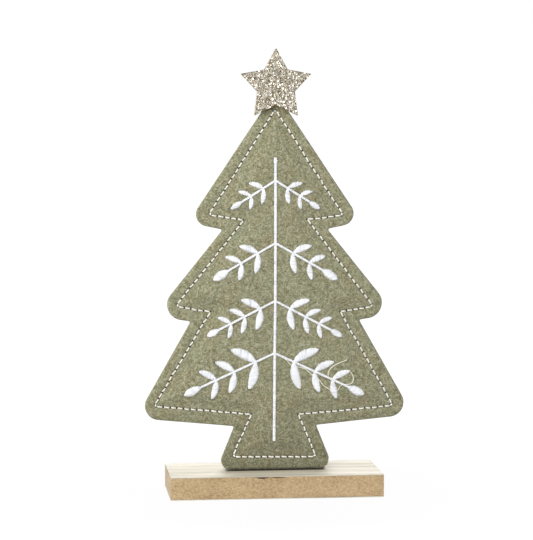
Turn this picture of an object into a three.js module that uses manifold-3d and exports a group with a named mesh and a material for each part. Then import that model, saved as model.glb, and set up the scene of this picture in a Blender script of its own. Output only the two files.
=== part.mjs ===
// A felt Christmas tree for the table: two sewn felt panels, embroidered in front, standing on a
// faced board, with a glitter star at the tip. Millimetres, +Z up, the front looks towards -Y,
// and the origin lies on the table under the middle of the tree.
import * as THREE from 'three';
import { mergeVertices } from 'three/addons/utils/BufferGeometryUtils.js';
import Module from 'manifold-3d';

const wasm = await Module();
wasm.setup();

// Base board, a fibreboard core faced above and below
const BASE_LENGTH = 140;
const BASE_DEPTH = 60;
const BASE_HEIGHT = 15;
const FACING = 0.6;
const BASE_SHIFT = -1.2;

// Felt panels
const FELT = 3;
const TREE_HEIGHT = 250;
const TREE_HALF_WIDTH = 92.4;
const APEX_RADIUS = 3.5;
const BOUGH_RADII = [8.1, 10.4, 9.6];
const NOTCH_RADIUS = 0.8;
const FOOT_RADIUS = 6;
const CUT_EDGE = 0.5;

// Corners of the right half before rounding, from the tip to the foot: half width, height
const OUTLINE_SHARES = [
  [0, 1],
  [0.623, 0.656],
  [0.376, 0.637],
  [0.871, 0.41],
  [0.606, 0.395],
  [1, 0.14],
  [0.2955, 0.115],
  [0.42, 0],
];

// Seam, a row of lockstitches in a sunk channel inside the panels' edge
const STITCH_PITCH = 4.5;
const SEAM_THREAD = 0.8;
const STITCH_LIFT = 0.25;
const THREAD_CLEARANCE = 0.03;
const CHANNEL_DEPTH = 0.6;
const CHANNEL_WIDTH = 1.4;
const CHANNEL_FLANK = 0.8;
const SEAM_CORNER_RADIUS = 0.3;

// Corners of the seam, guided by hand and so not quite even: place across, height
const SEAM_SHARES = [
  [0.0015, 0.953],
  [0.492, 0.674],
  [0.232, 0.6625],
  [0.71, 0.431],
  [0.472, 0.417],
  [0.858, 0.1645],
  [0.1695, 0.145],
  [0.298, 0.031],
  [-0.307, 0.0335],
  [-0.172, 0.147],
  [-0.868, 0.172],
  [-0.4655, 0.42],
  [-0.7105, 0.4365],
  [-0.2235, 0.6615],
  [-0.4745, 0.6765],
];

// Pocket inside the seam and what fills it
const STIFFENER = 3;
const WADDING = 0.7;
const BACKING = 0.3;
const POCKET_START = 1.5;
const POCKET_END = 4.5;
const PUFF_END = 7.5;
const FILLING_INSET = 5;
const BACKING_INSET = 6.5;

// Nails that rise from the base into slots in the stiffener
const NAIL_REACH = 27.4;
const NAIL_RADIUS = 1;
const NAIL_POINT = 3;
const NAIL_HEAD_RADIUS = 2.75;
const NAIL_HEAD = 1;
const NAIL_SUNK = 0.4;
const NAIL_SPACING = 16;
const NAIL_CLEARANCE = 0.3;

// Glue under the felt's foot
const FOOT_GLUE = 0.4;
const FOOT_GLUE_INSET = 1;

// Embroidery, satin stitch standing on the front panel
const SATIN_HEIGHT = 0.9;
const TRUNK_LINE_WIDTH = 1.6;
const BRANCH_WIDTH = 1.5;
const LONGEST_BRANCH = 53.8;
const BRANCH_GAP = 0.3;
const SATIN_CROWN_SHARE = 0.55;
const TRUNK_LINE_TOP_SHARE = 0.827;
const TRUNK_LINE_FOOT_SHARE = 0.077;

// Each tier of sprigs: height on the tree, branch length, where its leaf pairs join and their lengths
const SPRIG_SHARES = [
  { node: 0.766, branch: 0.489, joints: [0.36, 0.72], leaves: [0.39, 0.34], tip: 0.32 },
  { node: 0.6015, branch: 0.664, joints: [0.375, 0.73], leaves: [0.37, 0.32], tip: 0.335 },
  { node: 0.4485, branch: 0.771, joints: [0.265, 0.545, 0.79], leaves: [0.34, 0.27, 0.235], tip: 0.22 },
  { node: 0.31, branch: 1, joints: [0.26, 0.545, 0.79], leaves: [0.34, 0.265, 0.24], tip: 0.225 },
];
const LEFT_DROOP_DEGREES = [32, 30, 26.7, 24.2];
const RIGHT_DROOP_DEGREES = [32, 30, 27.9, 25.1];

// How far the trunk line leans aside at each tier and at its foot, against the tree's half width
const LEAN_SHARES = [0, 0, -0.0016, -0.0054];
const FOOT_LEAN_SHARE = -0.0097;
const UPPER_LEAF_DEGREES = 51;
const LOWER_LEAF_DEGREES = -52;
const TIP_LEAF_DEGREES = -2;
const LEAF_WIDTH_SHARE = 0.325;
const TIP_LEAF_WIDTH_SHARE = 0.45;
const LEAF_BOW_SHARE = 0.06;

// Along a leaf: place, half width and height
const LEAF_SHARES = [
  [0, 0.24, 0.85],
  [0.2, 0.72, 1],
  [0.45, 1, 1],
  [0.7, 0.9, 1],
  [0.89, 0.57, 0.8],
  [1, 0.18, 0.45],
];

// Star
const STAR_RADIUS = 24.3;
const STAR_NOTCH_RADIUS = 12.9;
const STAR_HEIGHT_ABOVE_TIP = 3.9;
const STAR_THICKNESS = 4;
const STAR_EDGE = 0.4;
const GLITTER = 0.5;
const STAR_ARMS = 5;
const STAR_GLUE = 1.4;
const STAR_GLUE_MARGIN = 0.8;

// Loose end of thread on the lower right sprig: places to the right of and above the lowest node
const TAIL_THREAD = 0.5;
const TAIL_TUNNEL_CLEARANCE = 0.15;
const TAIL_STEPS = 80;
const TAIL_SIDES = 8;
const TUNNEL_SIDES = 4;
const TAIL_ROUTE = [
  [1.6, -0.9], [4.2, -2.6], [6.9, -4.4], [9.8, -7.4], [12.9, -9.2], [16.2, -9.4], [20, -11.0],
  [24.6, -14.8], [28.5, -17.4], [31.6, -21.4], [34.1, -23.3], [36.8, -24.9], [39.5, -25.8],
  [41.8, -24.6], [42.9, -22.6], [45.2, -21.4], [48.6, -21.4], [51, -20.3], [52, -17.9],
  [51.5, -15.4], [50.1, -13.3], [47.9, -12.4], [45, -13.0], [41.6, -14.8], [38.4, -16.9],
  [36.3, -17.2], [35.2, -15.9], [35, -14.2], [35.5, -12.4], [36.4, -10.9], [38.2, -9.3],
  [40.6, -7.8], [43.1, -6.7], [45.6, -5.7], [47.8, -4.9],
];

// Fineness of the round stretches
const APEX_STEPS = 4;
const BOUGH_STEPS = 6;
const NOTCH_STEPS = 2;
const FOOT_STEPS = 4;
const PUFF_STEPS = 3;
const ROUND_SIDES = 16;
const CUT_OVERRUN = 1;

// Places that follow from the sizes above
const FOOT_HEIGHT = BASE_HEIGHT + FOOT_GLUE;
const NAIL_TOP = BASE_HEIGHT + NAIL_REACH;
const FRONT_POCKET = STIFFENER / 2 + WADDING + BACKING;
const BACK_POCKET = STIFFENER / 2 + WADDING;
const FRONT_FACE = FELT + FRONT_POCKET;
const FRONT = -1;
const BACK = 1;
const FOOT_CORNER = OUTLINE_SHARES.length - 1;

function heightOnTree(share) {
  return FOOT_HEIGHT + share * TREE_HEIGHT;
}

// Deletes what three.js adds for shading, welds the vertices and turns the faces outward
function weld(geometry) {
  geometry.deleteAttribute('normal');
  geometry.deleteAttribute('uv');
  const welded = mergeVertices(geometry);
  const faces = [];
  for (let i = 0; i < welded.index.count; i += 3) {
    const face = [0, 1, 2].map((k) => welded.index.getX(i + k));
    if (new Set(face).size === 3) faces.push(face);
  }
  return closedGeometry(welded.attributes.position.array, faces);
}

function closedGeometry(positions, faces) {
  const at = (i) => new THREE.Vector3().fromArray(positions, i * 3);
  const volume = faces.reduce((sum, [a, b, c]) => sum + at(a).dot(at(b).cross(at(c))), 0);
  const outward = volume < 0 ? faces.map(([a, b, c]) => [a, c, b]) : faces;
  const geometry = new THREE.BufferGeometry();
  geometry.setAttribute('position', new THREE.BufferAttribute(new Float32Array(positions), 3));
  geometry.setIndex(outward.flat());
  geometry.computeVertexNormals();
  return geometry;
}

function toSolid(geometry) {
  const mesh = new wasm.Mesh({
    numProp: 3,
    vertProperties: new Float32Array(geometry.attributes.position.array),
    triVerts: new Uint32Array(geometry.index.array),
  });
  return new wasm.Manifold(mesh);
}

function fromSolid(solid) {
  const mesh = solid.getMesh();
  const faces = [];
  for (let i = 0; i < mesh.triVerts.length; i += 3) faces.push([...mesh.triVerts.slice(i, i + 3)]);
  return closedGeometry(mesh.vertProperties, faces);
}

function cutAway(geometry, tools) {
  return fromSolid(tools.reduce((left, tool) => left.subtract(toSolid(tool)), toSolid(geometry)));
}

function joinAll(geometries) {
  const [first, ...rest] = geometries.map(toSolid);
  return fromSolid(rest.reduce((whole, next) => whole.add(next), first));
}

// Triangles that fill one flat ring, wound as the ring runs
function fillRing(ring) {
  const normal = new THREE.Vector3();
  ring.forEach((p, i) => normal.add(p.clone().cross(ring[(i + 1) % ring.length])));
  normal.normalize();
  const across = ring[1].clone().sub(ring[0]).normalize();
  const up = normal.clone().cross(across);
  const flat = ring.map((p) => new THREE.Vector2(p.dot(across), p.dot(up)));
  return THREE.ShapeUtils.triangulateShape(flat, []).map(([a, b, c]) => {
    const turn = flat[b].clone().sub(flat[a]).cross(flat[c].clone().sub(flat[a]));
    return turn < 0 ? [a, c, b] : [a, b, c];
  });
}

// A solid skinned over rings with equal numbers of points, closed by its end rings or into a loop
function skinRings(rings, looped = false) {
  const count = rings[0].length;
  const faces = [];
  const spans = looped ? rings.length : rings.length - 1;
  for (let r = 0; r < spans; r += 1) {
    const here = r * count;
    const next = ((r + 1) % rings.length) * count;
    for (let i = 0; i < count; i += 1) {
      const j = (i + 1) % count;
      faces.push([here + i, here + j, next + j], [here + i, next + j, next + i]);
    }
  }
  if (!looped) {
    const last = (rings.length - 1) * count;
    fillRing(rings[0]).forEach(([a, b, c]) => faces.push([a, c, b]));
    fillRing(rings[rings.length - 1]).forEach((face) => faces.push(face.map((i) => i + last)));
  }
  return closedGeometry(rings.flat().flatMap((p) => p.toArray()), faces);
}

// Moves every side of a clockwise outline inward by its own distance
function insetCorners(corners, distances) {
  const sides = corners.map((corner, i) => {
    const along = corners[(i + 1) % corners.length].clone().sub(corner).normalize();
    const inward = new THREE.Vector2(along.y, -along.x);
    return { start: corner.clone().addScaledVector(inward, distances[i]), along };
  });
  return sides.map((side, i) => {
    const before = sides[(i + sides.length - 1) % sides.length];
    const gap = side.start.clone().sub(before.start);
    const reach = gap.cross(side.along) / before.along.cross(side.along);
    return before.start.clone().addScaledVector(before.along, reach);
  });
}

// Rounds each corner by its own radius, with a fixed number of steps round it
function roundCorners(corners, radii, steps) {
  return corners.flatMap((corner, i) => {
    const count = corners.length;
    const arriving = corner.clone().sub(corners[(i + count - 1) % count]).normalize();
    const leaving = corners[(i + 1) % count].clone().sub(corner).normalize();
    const turn = Math.atan2(arriving.cross(leaving), arriving.dot(leaving));
    const side = Math.sign(turn);
    const start = corner.clone().addScaledVector(arriving, -radii[i] * Math.tan(Math.abs(turn) / 2));
    const inward = new THREE.Vector2(-arriving.y, arriving.x).multiplyScalar(side * radii[i]);
    const centre = start.clone().add(inward);
    return Array.from({ length: steps[i] + 1 }, (_, k) => (
      start.clone().rotateAround(centre, (turn * k) / steps[i])
    ));
  });
}

function fullRound(rightHalf) {
  return [...rightHalf, ...rightHalf.slice(1).reverse()];
}

function cornerOnTree([x, z]) {
  return new THREE.Vector2(x * TREE_HALF_WIDTH, heightOnTree(z));
}

const outlineShares = fullRound(OUTLINE_SHARES);
const treeCorners = outlineShares.map(([x, z], i) => (
  cornerOnTree(i < OUTLINE_SHARES.length ? [x, z] : [-x, z])
));
const seamCorners = SEAM_SHARES.map(cornerOnTree);
const cornerSteps = fullRound([
  APEX_STEPS, BOUGH_STEPS, NOTCH_STEPS, BOUGH_STEPS, NOTCH_STEPS, BOUGH_STEPS, NOTCH_STEPS, FOOT_STEPS,
]);
const treeRadii = fullRound([
  APEX_RADIUS,
  ...BOUGH_RADII.flatMap((radius) => [radius, NOTCH_RADIUS]),
  FOOT_RADIUS,
]);

// The panels' cut outline, or a ring just inside it
function treeRing(inset) {
  const isNotch = (i) => cornerSteps[i] === NOTCH_STEPS;
  const radii = treeRadii.map((radius, i) => (isNotch(i) ? radius + inset : radius - inset));
  return roundCorners(insetCorners(treeCorners, treeCorners.map(() => inset)), radii, cornerSteps);
}

// A ring that runs beside the seam, outside it where inset is below zero
function seamRing(inset) {
  const radii = seamCorners.map(() => SEAM_CORNER_RADIUS + Math.abs(inset) / 2);
  return roundCorners(insetCorners(seamCorners, seamCorners.map(() => inset)), radii, cornerSteps);
}

function standUp(ring, y) {
  return ring.map((p) => new THREE.Vector3(p.x, y, p.y));
}

// A flat sheet of the given outline between two depths
function sheet(ring, fromY, toY) {
  return skinRings([standUp(ring, fromY), standUp(ring, toY)]);
}

function nailPlaces() {
  return [-NAIL_SPACING / 2, NAIL_SPACING / 2];
}

// An upright cylinder for boring, from one height to another
function borer(x, radius, fromZ, toZ) {
  const cylinder = new THREE.CylinderGeometry(radius, radius, toZ - fromZ, ROUND_SIDES);
  cylinder.rotateX(Math.PI / 2);
  cylinder.translate(x, 0, (fromZ + toZ) / 2);
  return weld(cylinder);
}

function nailBores(fromZ, toZ) {
  return nailPlaces().map((x) => borer(x, NAIL_RADIUS + NAIL_CLEARANCE, fromZ, toZ));
}

function headBores() {
  const top = NAIL_SUNK + NAIL_HEAD;
  return nailPlaces().map((x) => borer(x, NAIL_HEAD_RADIUS + NAIL_CLEARANCE, -CUT_OVERRUN, top));
}

function boardLayer(fromZ, toZ) {
  const box = new THREE.BoxGeometry(BASE_LENGTH, BASE_DEPTH, toZ - fromZ);
  box.translate(BASE_SHIFT, 0, (fromZ + toZ) / 2);
  return weld(box);
}

function baseCore() {
  const bores = [...nailBores(-CUT_OVERRUN, BASE_HEIGHT + CUT_OVERRUN), ...headBores()];
  return cutAway(boardLayer(FACING, BASE_HEIGHT - FACING), bores);
}

function baseTopVeneer() {
  const bores = nailBores(-CUT_OVERRUN, BASE_HEIGHT + CUT_OVERRUN);
  return cutAway(boardLayer(BASE_HEIGHT - FACING, BASE_HEIGHT), bores);
}

function baseBottomVeneer() {
  return cutAway(boardLayer(0, FACING), headBores());
}

function nail(x) {
  const profile = [
    [0, NAIL_SUNK],
    [NAIL_HEAD_RADIUS, NAIL_SUNK],
    [NAIL_HEAD_RADIUS, NAIL_SUNK + NAIL_HEAD],
    [NAIL_RADIUS, NAIL_SUNK + NAIL_HEAD],
    [NAIL_RADIUS, NAIL_TOP - NAIL_POINT],
    [0, NAIL_TOP],
  ].map(([r, z]) => new THREE.Vector2(r, z));
  const turned = new THREE.LatheGeometry(profile, ROUND_SIDES);
  turned.rotateX(Math.PI / 2);
  turned.translate(x, 0, 0);
  return weld(turned);
}

// One felt panel: cut edge, flat border, sunk seam channel and the puffed field inside it,
// hollowed on its inner face for the filling
function feltPanel(side, pocket) {
  const channel = CHANNEL_WIDTH / 2;
  const lip = channel + CHANNEL_FLANK;
  const puff = Array.from({ length: PUFF_STEPS }, (_, k) => {
    const share = (k + 1) / PUFF_STEPS;
    const height = FELT + pocket * Math.sin((share * Math.PI) / 2);
    return [seamRing(lip + share * (PUFF_END - lip)), height];
  });
  const profile = [
    [seamRing(POCKET_END), pocket],
    [seamRing(POCKET_START), 0],
    [treeRing(0), 0],
    [treeRing(0), FELT - CUT_EDGE],
    [treeRing(CUT_EDGE), FELT],
    [seamRing(-lip), FELT],
    [seamRing(-channel), FELT - CHANNEL_DEPTH],
    [seamRing(channel), FELT - CHANNEL_DEPTH],
    [seamRing(lip), FELT],
    ...puff,
  ];
  const panel = skinRings(profile.map(([ring, height]) => standUp(ring, side * height)));
  const seamFoot = Math.max(seamCorners[FOOT_CORNER].y, seamCorners[FOOT_CORNER + 1].y);
  return cutAway(panel, nailBores(BASE_HEIGHT - CUT_OVERRUN, seamFoot + POCKET_END));
}

function stiffeningPanel() {
  const board = sheet(seamRing(FILLING_INSET), -STIFFENER / 2, STIFFENER / 2);
  const slotTop = NAIL_TOP + NAIL_CLEARANCE;
  const slots = nailPlaces().map((x) => {
    const width = 2 * (NAIL_RADIUS + NAIL_CLEARANCE);
    const slot = new THREE.BoxGeometry(width, STIFFENER + 2 * CUT_OVERRUN, slotTop - FOOT_HEIGHT);
    slot.translate(x, 0, (FOOT_HEIGHT + slotTop) / 2);
    return weld(slot);
  });
  return cutAway(board, slots);
}

function wadding(side) {
  const from = STIFFENER / 2;
  return sheet(seamRing(FILLING_INSET), side * from, side * (from + WADDING));
}

function embroideryBacking() {
  return sheet(seamRing(BACKING_INSET), FRONT * (STIFFENER / 2 + WADDING), FRONT * FRONT_POCKET);
}

// The thread of the seam on one side: down in the channel at each needle hole, up in each stitch
function seamThread(side) {
  const floor = FELT - CHANNEL_DEPTH + THREAD_CLEARANCE;
  const sections = [];
  seamCorners.forEach((corner, i) => {
    const count = seamCorners.length;
    const next = seamCorners[(i + 1) % count];
    const along = next.clone().sub(corner).normalize();
    const arriving = corner.clone().sub(seamCorners[(i + count - 1) % count]).normalize();
    const square = new THREE.Vector2(-along.y, along.x);
    const mitre = new THREE.Vector2(-arriving.y, arriving.x).add(square).normalize();
    mitre.divideScalar(mitre.dot(square));
    const stitches = Math.round(corner.distanceTo(next) / STITCH_PITCH);
    for (let k = 0; k < 2 * stitches; k += 1) {
      const middle = corner.clone().lerp(next, k / (2 * stitches));
      const across = k === 0 ? mitre : square;
      const bottom = floor + (k % 2) * STITCH_LIFT;
      const left = middle.clone().addScaledVector(across, SEAM_THREAD / 2);
      const right = middle.clone().addScaledVector(across, -SEAM_THREAD / 2);
      sections.push([
        new THREE.Vector3(left.x, side * bottom, left.y),
        new THREE.Vector3(right.x, side * bottom, right.y),
        new THREE.Vector3(middle.x, side * (bottom + SEAM_THREAD), middle.y),
      ]);
    }
  });
  return skinRings(sections, true);
}

// A raised column of satin stitch along a line on the front panel
function satinColumn(stations) {
  const rings = stations.map(({ point, halfWidth, height }, i) => {
    const before = stations[Math.max(i - 1, 0)].point;
    const after = stations[Math.min(i + 1, stations.length - 1)].point;
    const along = after.clone().sub(before).normalize();
    const across = new THREE.Vector2(-along.y, along.x).multiplyScalar(halfWidth);
    const top = -(FRONT_FACE + height);
    const place = (share, y) => {
      const spot = point.clone().addScaledVector(across, share);
      return new THREE.Vector3(spot.x, y, spot.y);
    };
    return [
      place(-1, -FRONT_FACE),
      place(1, -FRONT_FACE),
      place(SATIN_CROWN_SHARE, top),
      place(-SATIN_CROWN_SHARE, top),
    ];
  });
  return skinRings(rings);
}

function evenColumn(points, width) {
  const halfWidth = width / 2;
  return satinColumn(points.map((point) => ({ point, halfWidth, height: SATIN_HEIGHT })));
}

function leaf(base, direction, length, widthShare, bow) {
  const across = new THREE.Vector2(-direction.y, direction.x);
  return satinColumn(LEAF_SHARES.map(([along, width, height]) => ({
    point: base.clone()
      .addScaledVector(direction, along * length)
      .addScaledVector(across, bow * length * Math.sin(along * Math.PI)),
    halfWidth: (width * widthShare * length) / 2,
    height: height * SATIN_HEIGHT,
  })));
}

function nodeOfTier(tier) {
  return new THREE.Vector2(LEAN_SHARES[tier] * TREE_HALF_WIDTH, heightOnTree(SPRIG_SHARES[tier].node));
}

function embroideredTrunkLine() {
  const top = new THREE.Vector2(0, heightOnTree(TRUNK_LINE_TOP_SHARE));
  const foot = new THREE.Vector2(FOOT_LEAN_SHARE * TREE_HALF_WIDTH, heightOnTree(TRUNK_LINE_FOOT_SHARE));
  return evenColumn([top, ...LEAN_SHARES.map((_, tier) => nodeOfTier(tier)), foot], TRUNK_LINE_WIDTH);
}

// One branch with its pairs of leaves and the leaf at its tip, sewn as one patch of thread
function embroideredSprig(tier, side) {
  const shares = SPRIG_SHARES[tier];
  const length = shares.branch * LONGEST_BRANCH;
  const node = nodeOfTier(tier);
  const droop = (side < 0 ? LEFT_DROOP_DEGREES : RIGHT_DROOP_DEGREES)[tier];
  const aim = (degrees) => {
    const angle = THREE.MathUtils.degToRad(degrees - droop);
    return new THREE.Vector2(side * Math.cos(angle), Math.sin(angle));
  };
  const outward = aim(0);
  const onBranch = (reach) => node.clone().addScaledVector(outward, reach);
  const root = (TRUNK_LINE_WIDTH / 2 + BRANCH_GAP + BRANCH_WIDTH / 2) / Math.abs(outward.x);
  const branch = evenColumn([onBranch(root), onBranch(length)], BRANCH_WIDTH);
  const pairs = shares.joints.flatMap((joint, i) => {
    const base = onBranch(joint * length);
    const leafLength = shares.leaves[i] * length;
    const bow = side * LEAF_BOW_SHARE;
    return [
      leaf(base, aim(UPPER_LEAF_DEGREES), leafLength, LEAF_WIDTH_SHARE, bow),
      leaf(base, aim(LOWER_LEAF_DEGREES), leafLength, LEAF_WIDTH_SHARE, -bow),
    ];
  });
  const tipLength = shares.tip * length;
  const tip = leaf(onBranch(length), aim(TIP_LEAF_DEGREES), tipLength, TIP_LEAF_WIDTH_SHARE, 0);
  return joinAll([branch, ...pairs, tip]);
}

// The loose end of thread, which lies on the felt and under the sprig's stitches
function tailTube(radius, sides) {
  const node = heightOnTree(SPRIG_SHARES[SPRIG_SHARES.length - 1].node);
  const y = -(FRONT_FACE + TAIL_THREAD / 2 + THREAD_CLEARANCE);
  const points = TAIL_ROUTE.map(([x, z]) => new THREE.Vector3(x, y, node + z));
  const section = new THREE.Shape(Array.from({ length: sides }, (_, k) => {
    const angle = (2 * Math.PI * k) / sides;
    return new THREE.Vector2(Math.cos(angle), Math.sin(angle)).multiplyScalar(radius);
  }));
  return weld(new THREE.ExtrudeGeometry(section, {
    steps: TAIL_STEPS,
    bevelEnabled: false,
    extrudePath: new THREE.CatmullRomCurve3(points),
  }));
}

function looseThreadTail() {
  return tailTube(TAIL_THREAD / 2, TAIL_SIDES);
}

function sprigOverTail(tier, side) {
  const tunnel = tailTube(TAIL_THREAD / 2 + TAIL_TUNNEL_CLEARANCE, TUNNEL_SIDES);
  return cutAway(embroideredSprig(tier, side), [tunnel]);
}

function starRing(inset) {
  const middle = FOOT_HEIGHT + TREE_HEIGHT + STAR_HEIGHT_ABOVE_TIP;
  const corners = Array.from({ length: 2 * STAR_ARMS }, (_, k) => {
    const radius = k % 2 ? STAR_NOTCH_RADIUS : STAR_RADIUS;
    const angle = (Math.PI * k) / STAR_ARMS;
    return new THREE.Vector2(radius * Math.sin(angle), middle + radius * Math.cos(angle));
  });
  return insetCorners(corners, corners.map(() => inset));
}

function starBlank() {
  const back = FELT + STAR_GLUE;
  return skinRings([
    standUp(starRing(STAR_EDGE), FRONT * back),
    standUp(starRing(0), FRONT * (back + STAR_EDGE)),
    standUp(starRing(0), FRONT * (back + STAR_THICKNESS)),
  ]);
}

function starGlitter() {
  const back = FELT + STAR_GLUE + STAR_THICKNESS;
  return skinRings([
    standUp(starRing(0), FRONT * back),
    standUp(starRing(STAR_EDGE), FRONT * (back + GLITTER)),
  ]);
}

// Glue where the star's lower notch overlaps the felt's tip, clear of both outlines
function starGluePad() {
  const blank = sheet(starRing(STAR_GLUE_MARGIN), FRONT * FELT, FRONT * (FELT + STAR_GLUE));
  const margin = CUT_EDGE + STAR_GLUE_MARGIN;
  const tip = sheet(treeRing(margin), FRONT * FELT, FRONT * (FELT + STAR_GLUE));
  return fromSolid(toSolid(blank).intersect(toSolid(tip)));
}

function footGlueFilm() {
  const corner = treeCorners[FOOT_CORNER];
  const length = 2 * (corner.x - FOOT_RADIUS - FOOT_GLUE_INSET);
  const film = new THREE.BoxGeometry(length, 2 * (FELT - FOOT_GLUE_INSET), FOOT_GLUE);
  film.translate(0, 0, BASE_HEIGHT + FOOT_GLUE / 2);
  return cutAway(weld(film), nailBores(BASE_HEIGHT - CUT_OVERRUN, FOOT_HEIGHT + CUT_OVERRUN));
}

function finish(color, roughness, metalness) {
  return { color, roughness, metalness };
}

const fibreboard = finish(0xb99d74, 0.85, 0);
const veneer = finish(0xe9e0d2, 0.6, 0);
const sageFelt = finish(0x8e8a68, 1, 0);
const creamThread = finish(0xe8e4d2, 0.7, 0);
const satinThread = finish(0xf1f1f7, 0.5, 0);
const hardboard = finish(0x8a6a48, 0.8, 0);
const polyester = finish(0xf4f4f2, 1, 0);
const tearAway = finish(0xf7f7f5, 0.95, 0);
const champagneFoam = finish(0xb7a58c, 0.7, 0);
const champagneGlitter = finish(0xc9b596, 0.35, 0.6);
const clearGlue = finish(0xe6dfc8, 0.3, 0);
const steel = finish(0xb8babd, 0.35, 1);

const tree = new THREE.Group();

function addPiece(name, geometry, look) {
  const mesh = new THREE.Mesh(geometry, new THREE.MeshStandardMaterial(look));
  mesh.name = name;
  tree.add(mesh);
}

addPiece('base_core', baseCore(), fibreboard);
addPiece('base_top_veneer', baseTopVeneer(), veneer);
addPiece('base_bottom_veneer', baseBottomVeneer(), veneer);
addPiece('support_nail_left', nail(nailPlaces()[0]), steel);
addPiece('support_nail_right', nail(nailPlaces()[1]), steel);
addPiece('foot_glue_film', footGlueFilm(), clearGlue);
addPiece('stiffening_panel', stiffeningPanel(), hardboard);
addPiece('front_wadding', wadding(FRONT), polyester);
addPiece('back_wadding', wadding(BACK), polyester);
addPiece('embroidery_backing', embroideryBacking(), tearAway);
addPiece('felt_front_panel', feltPanel(FRONT, FRONT_POCKET), sageFelt);
addPiece('felt_back_panel', feltPanel(BACK, BACK_POCKET), sageFelt);
addPiece('seam_needle_thread', seamThread(FRONT), creamThread);
addPiece('seam_bobbin_thread', seamThread(BACK), creamThread);
addPiece('embroidered_trunk_line', embroideredTrunkLine(), satinThread);
SPRIG_SHARES.forEach((_, tier) => {
  const overTail = tier === SPRIG_SHARES.length - 1;
  const right = overTail ? sprigOverTail(tier, 1) : embroideredSprig(tier, 1);
  addPiece(`embroidered_sprig_${tier + 1}_left`, embroideredSprig(tier, -1), satinThread);
  addPiece(`embroidered_sprig_${tier + 1}_right`, right, satinThread);
});
addPiece('loose_thread_tail', looseThreadTail(), creamThread);
addPiece('star_glue_pad', starGluePad(), clearGlue);
addPiece('star_blank', starBlank(), champagneFoam);
addPiece('star_glitter', starGlitter(), champagneGlitter);

export default tree;
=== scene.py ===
# A felt Christmas tree on a faced board, dressed piece by piece around its construction.
# Everything is in metres, +Z up, with the embroidered front towards -Y.
import math

import bmesh
import bpy
import numpy as np
from mathutils import Matrix, Vector, geometry, noise


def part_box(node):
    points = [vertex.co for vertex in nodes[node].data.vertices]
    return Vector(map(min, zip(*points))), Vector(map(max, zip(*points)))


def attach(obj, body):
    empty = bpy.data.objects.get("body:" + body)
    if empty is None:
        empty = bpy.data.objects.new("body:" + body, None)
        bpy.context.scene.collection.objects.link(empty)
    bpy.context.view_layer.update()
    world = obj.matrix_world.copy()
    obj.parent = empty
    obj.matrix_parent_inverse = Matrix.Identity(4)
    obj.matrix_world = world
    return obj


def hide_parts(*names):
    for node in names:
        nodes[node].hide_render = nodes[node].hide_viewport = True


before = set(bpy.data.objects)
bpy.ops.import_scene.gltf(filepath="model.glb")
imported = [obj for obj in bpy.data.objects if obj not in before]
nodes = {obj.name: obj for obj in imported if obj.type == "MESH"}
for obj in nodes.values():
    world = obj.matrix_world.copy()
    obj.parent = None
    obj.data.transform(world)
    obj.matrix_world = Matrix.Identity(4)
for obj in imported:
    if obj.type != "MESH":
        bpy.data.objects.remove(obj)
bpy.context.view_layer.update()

scene = bpy.context.scene
MM = 0.001

# Camera: where the photograph was taken from, 1.5 m in front of the tree, a little to its left
# and almost as high as its tip, with a long lens and no blur.
PHOTO_HEIGHT = 540
FOCAL_LENGTH_IN_PIXELS = 2246.03
CAMERA_PLACE = (-165.3 * MM, -1471.8 * MM, 259.1 * MM)
CAMERA_TURN_DEGREES, CAMERA_DIP_DEGREES = 6.1986, 4.3034

camera = bpy.data.objects.new("camera", bpy.data.cameras.new("camera"))
scene.collection.objects.link(camera)
camera.data.lens = FOCAL_LENGTH_IN_PIXELS * camera.data.sensor_width / PHOTO_HEIGHT
camera.location = CAMERA_PLACE
camera_tilt = math.radians(90 - CAMERA_DIP_DEGREES)
camera.rotation_euler = (camera_tilt, 0, math.radians(-CAMERA_TURN_DEGREES))
scene.camera = camera
scene.view_settings.view_transform = "Standard"


# Loose thread: the untrimmed end of the embroidery thread, three fine plies twisted together.
# It comes out beside the trunk line, wanders under the lowest right sprig and ends free above it.
TAIL_DIAMETER = 0.5 * MM
TAIL_START = (0, -5.78 * MM, 92.9 * MM)
TAIL_ROUTE = [  # millimetres to the right of that start and above it
    (1.6, -0.9), (4.2, -2.6), (6.9, -4.4), (9.8, -7.4), (12.9, -9.2), (16.2, -9.4), (20, -11.0),
    (24.6, -14.8), (28.5, -17.4), (31.6, -21.4), (34.1, -23.3), (36.8, -24.9), (39.5, -25.8),
    (41.8, -24.6), (42.9, -22.6), (45.2, -21.4), (48.6, -21.4), (51, -20.3), (52, -17.9),
    (51.5, -15.4), (50.1, -13.3), (47.9, -12.4), (45, -13.0), (41.6, -14.8), (38.4, -16.9),
    (36.3, -17.2), (35.2, -15.9), (35, -14.2), (35.5, -12.4), (36.4, -10.9), (38.2, -9.3),
    (40.6, -7.8), (43.1, -6.7), (45.6, -5.7), (47.8, -4.9),
]
TAIL_STEP = 0.3 * MM
THREAD_PLIES = 3
THREAD_SIDES = 12
PLY_GROOVE_SHARE = 0.16
TWIST_LENGTH = 1.5 * MM
CREAM_DARK, CREAM_LIGHT = "f0e8d0", "fffdf2"
USUAL_RELIEF, THREAD_RELIEF = 0.1 * MM, 0.03 * MM
THREAD_FIBRE_SCALE, SOILING_SCALE = 2600, 160
FIBRE_SHARE, SOILING_SHARE = 0.65, 0.35


def shade(code):
    """A colour code as on a screen, in the linear values that shaders take, by the sRGB rule"""
    levels = [int(code[k:k + 2], 16) / 255 for k in (0, 2, 4)]
    return [(v / 12.92 if v <= 0.04045 else ((v + 0.055) / 1.055) ** 2.4) for v in levels]


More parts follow.
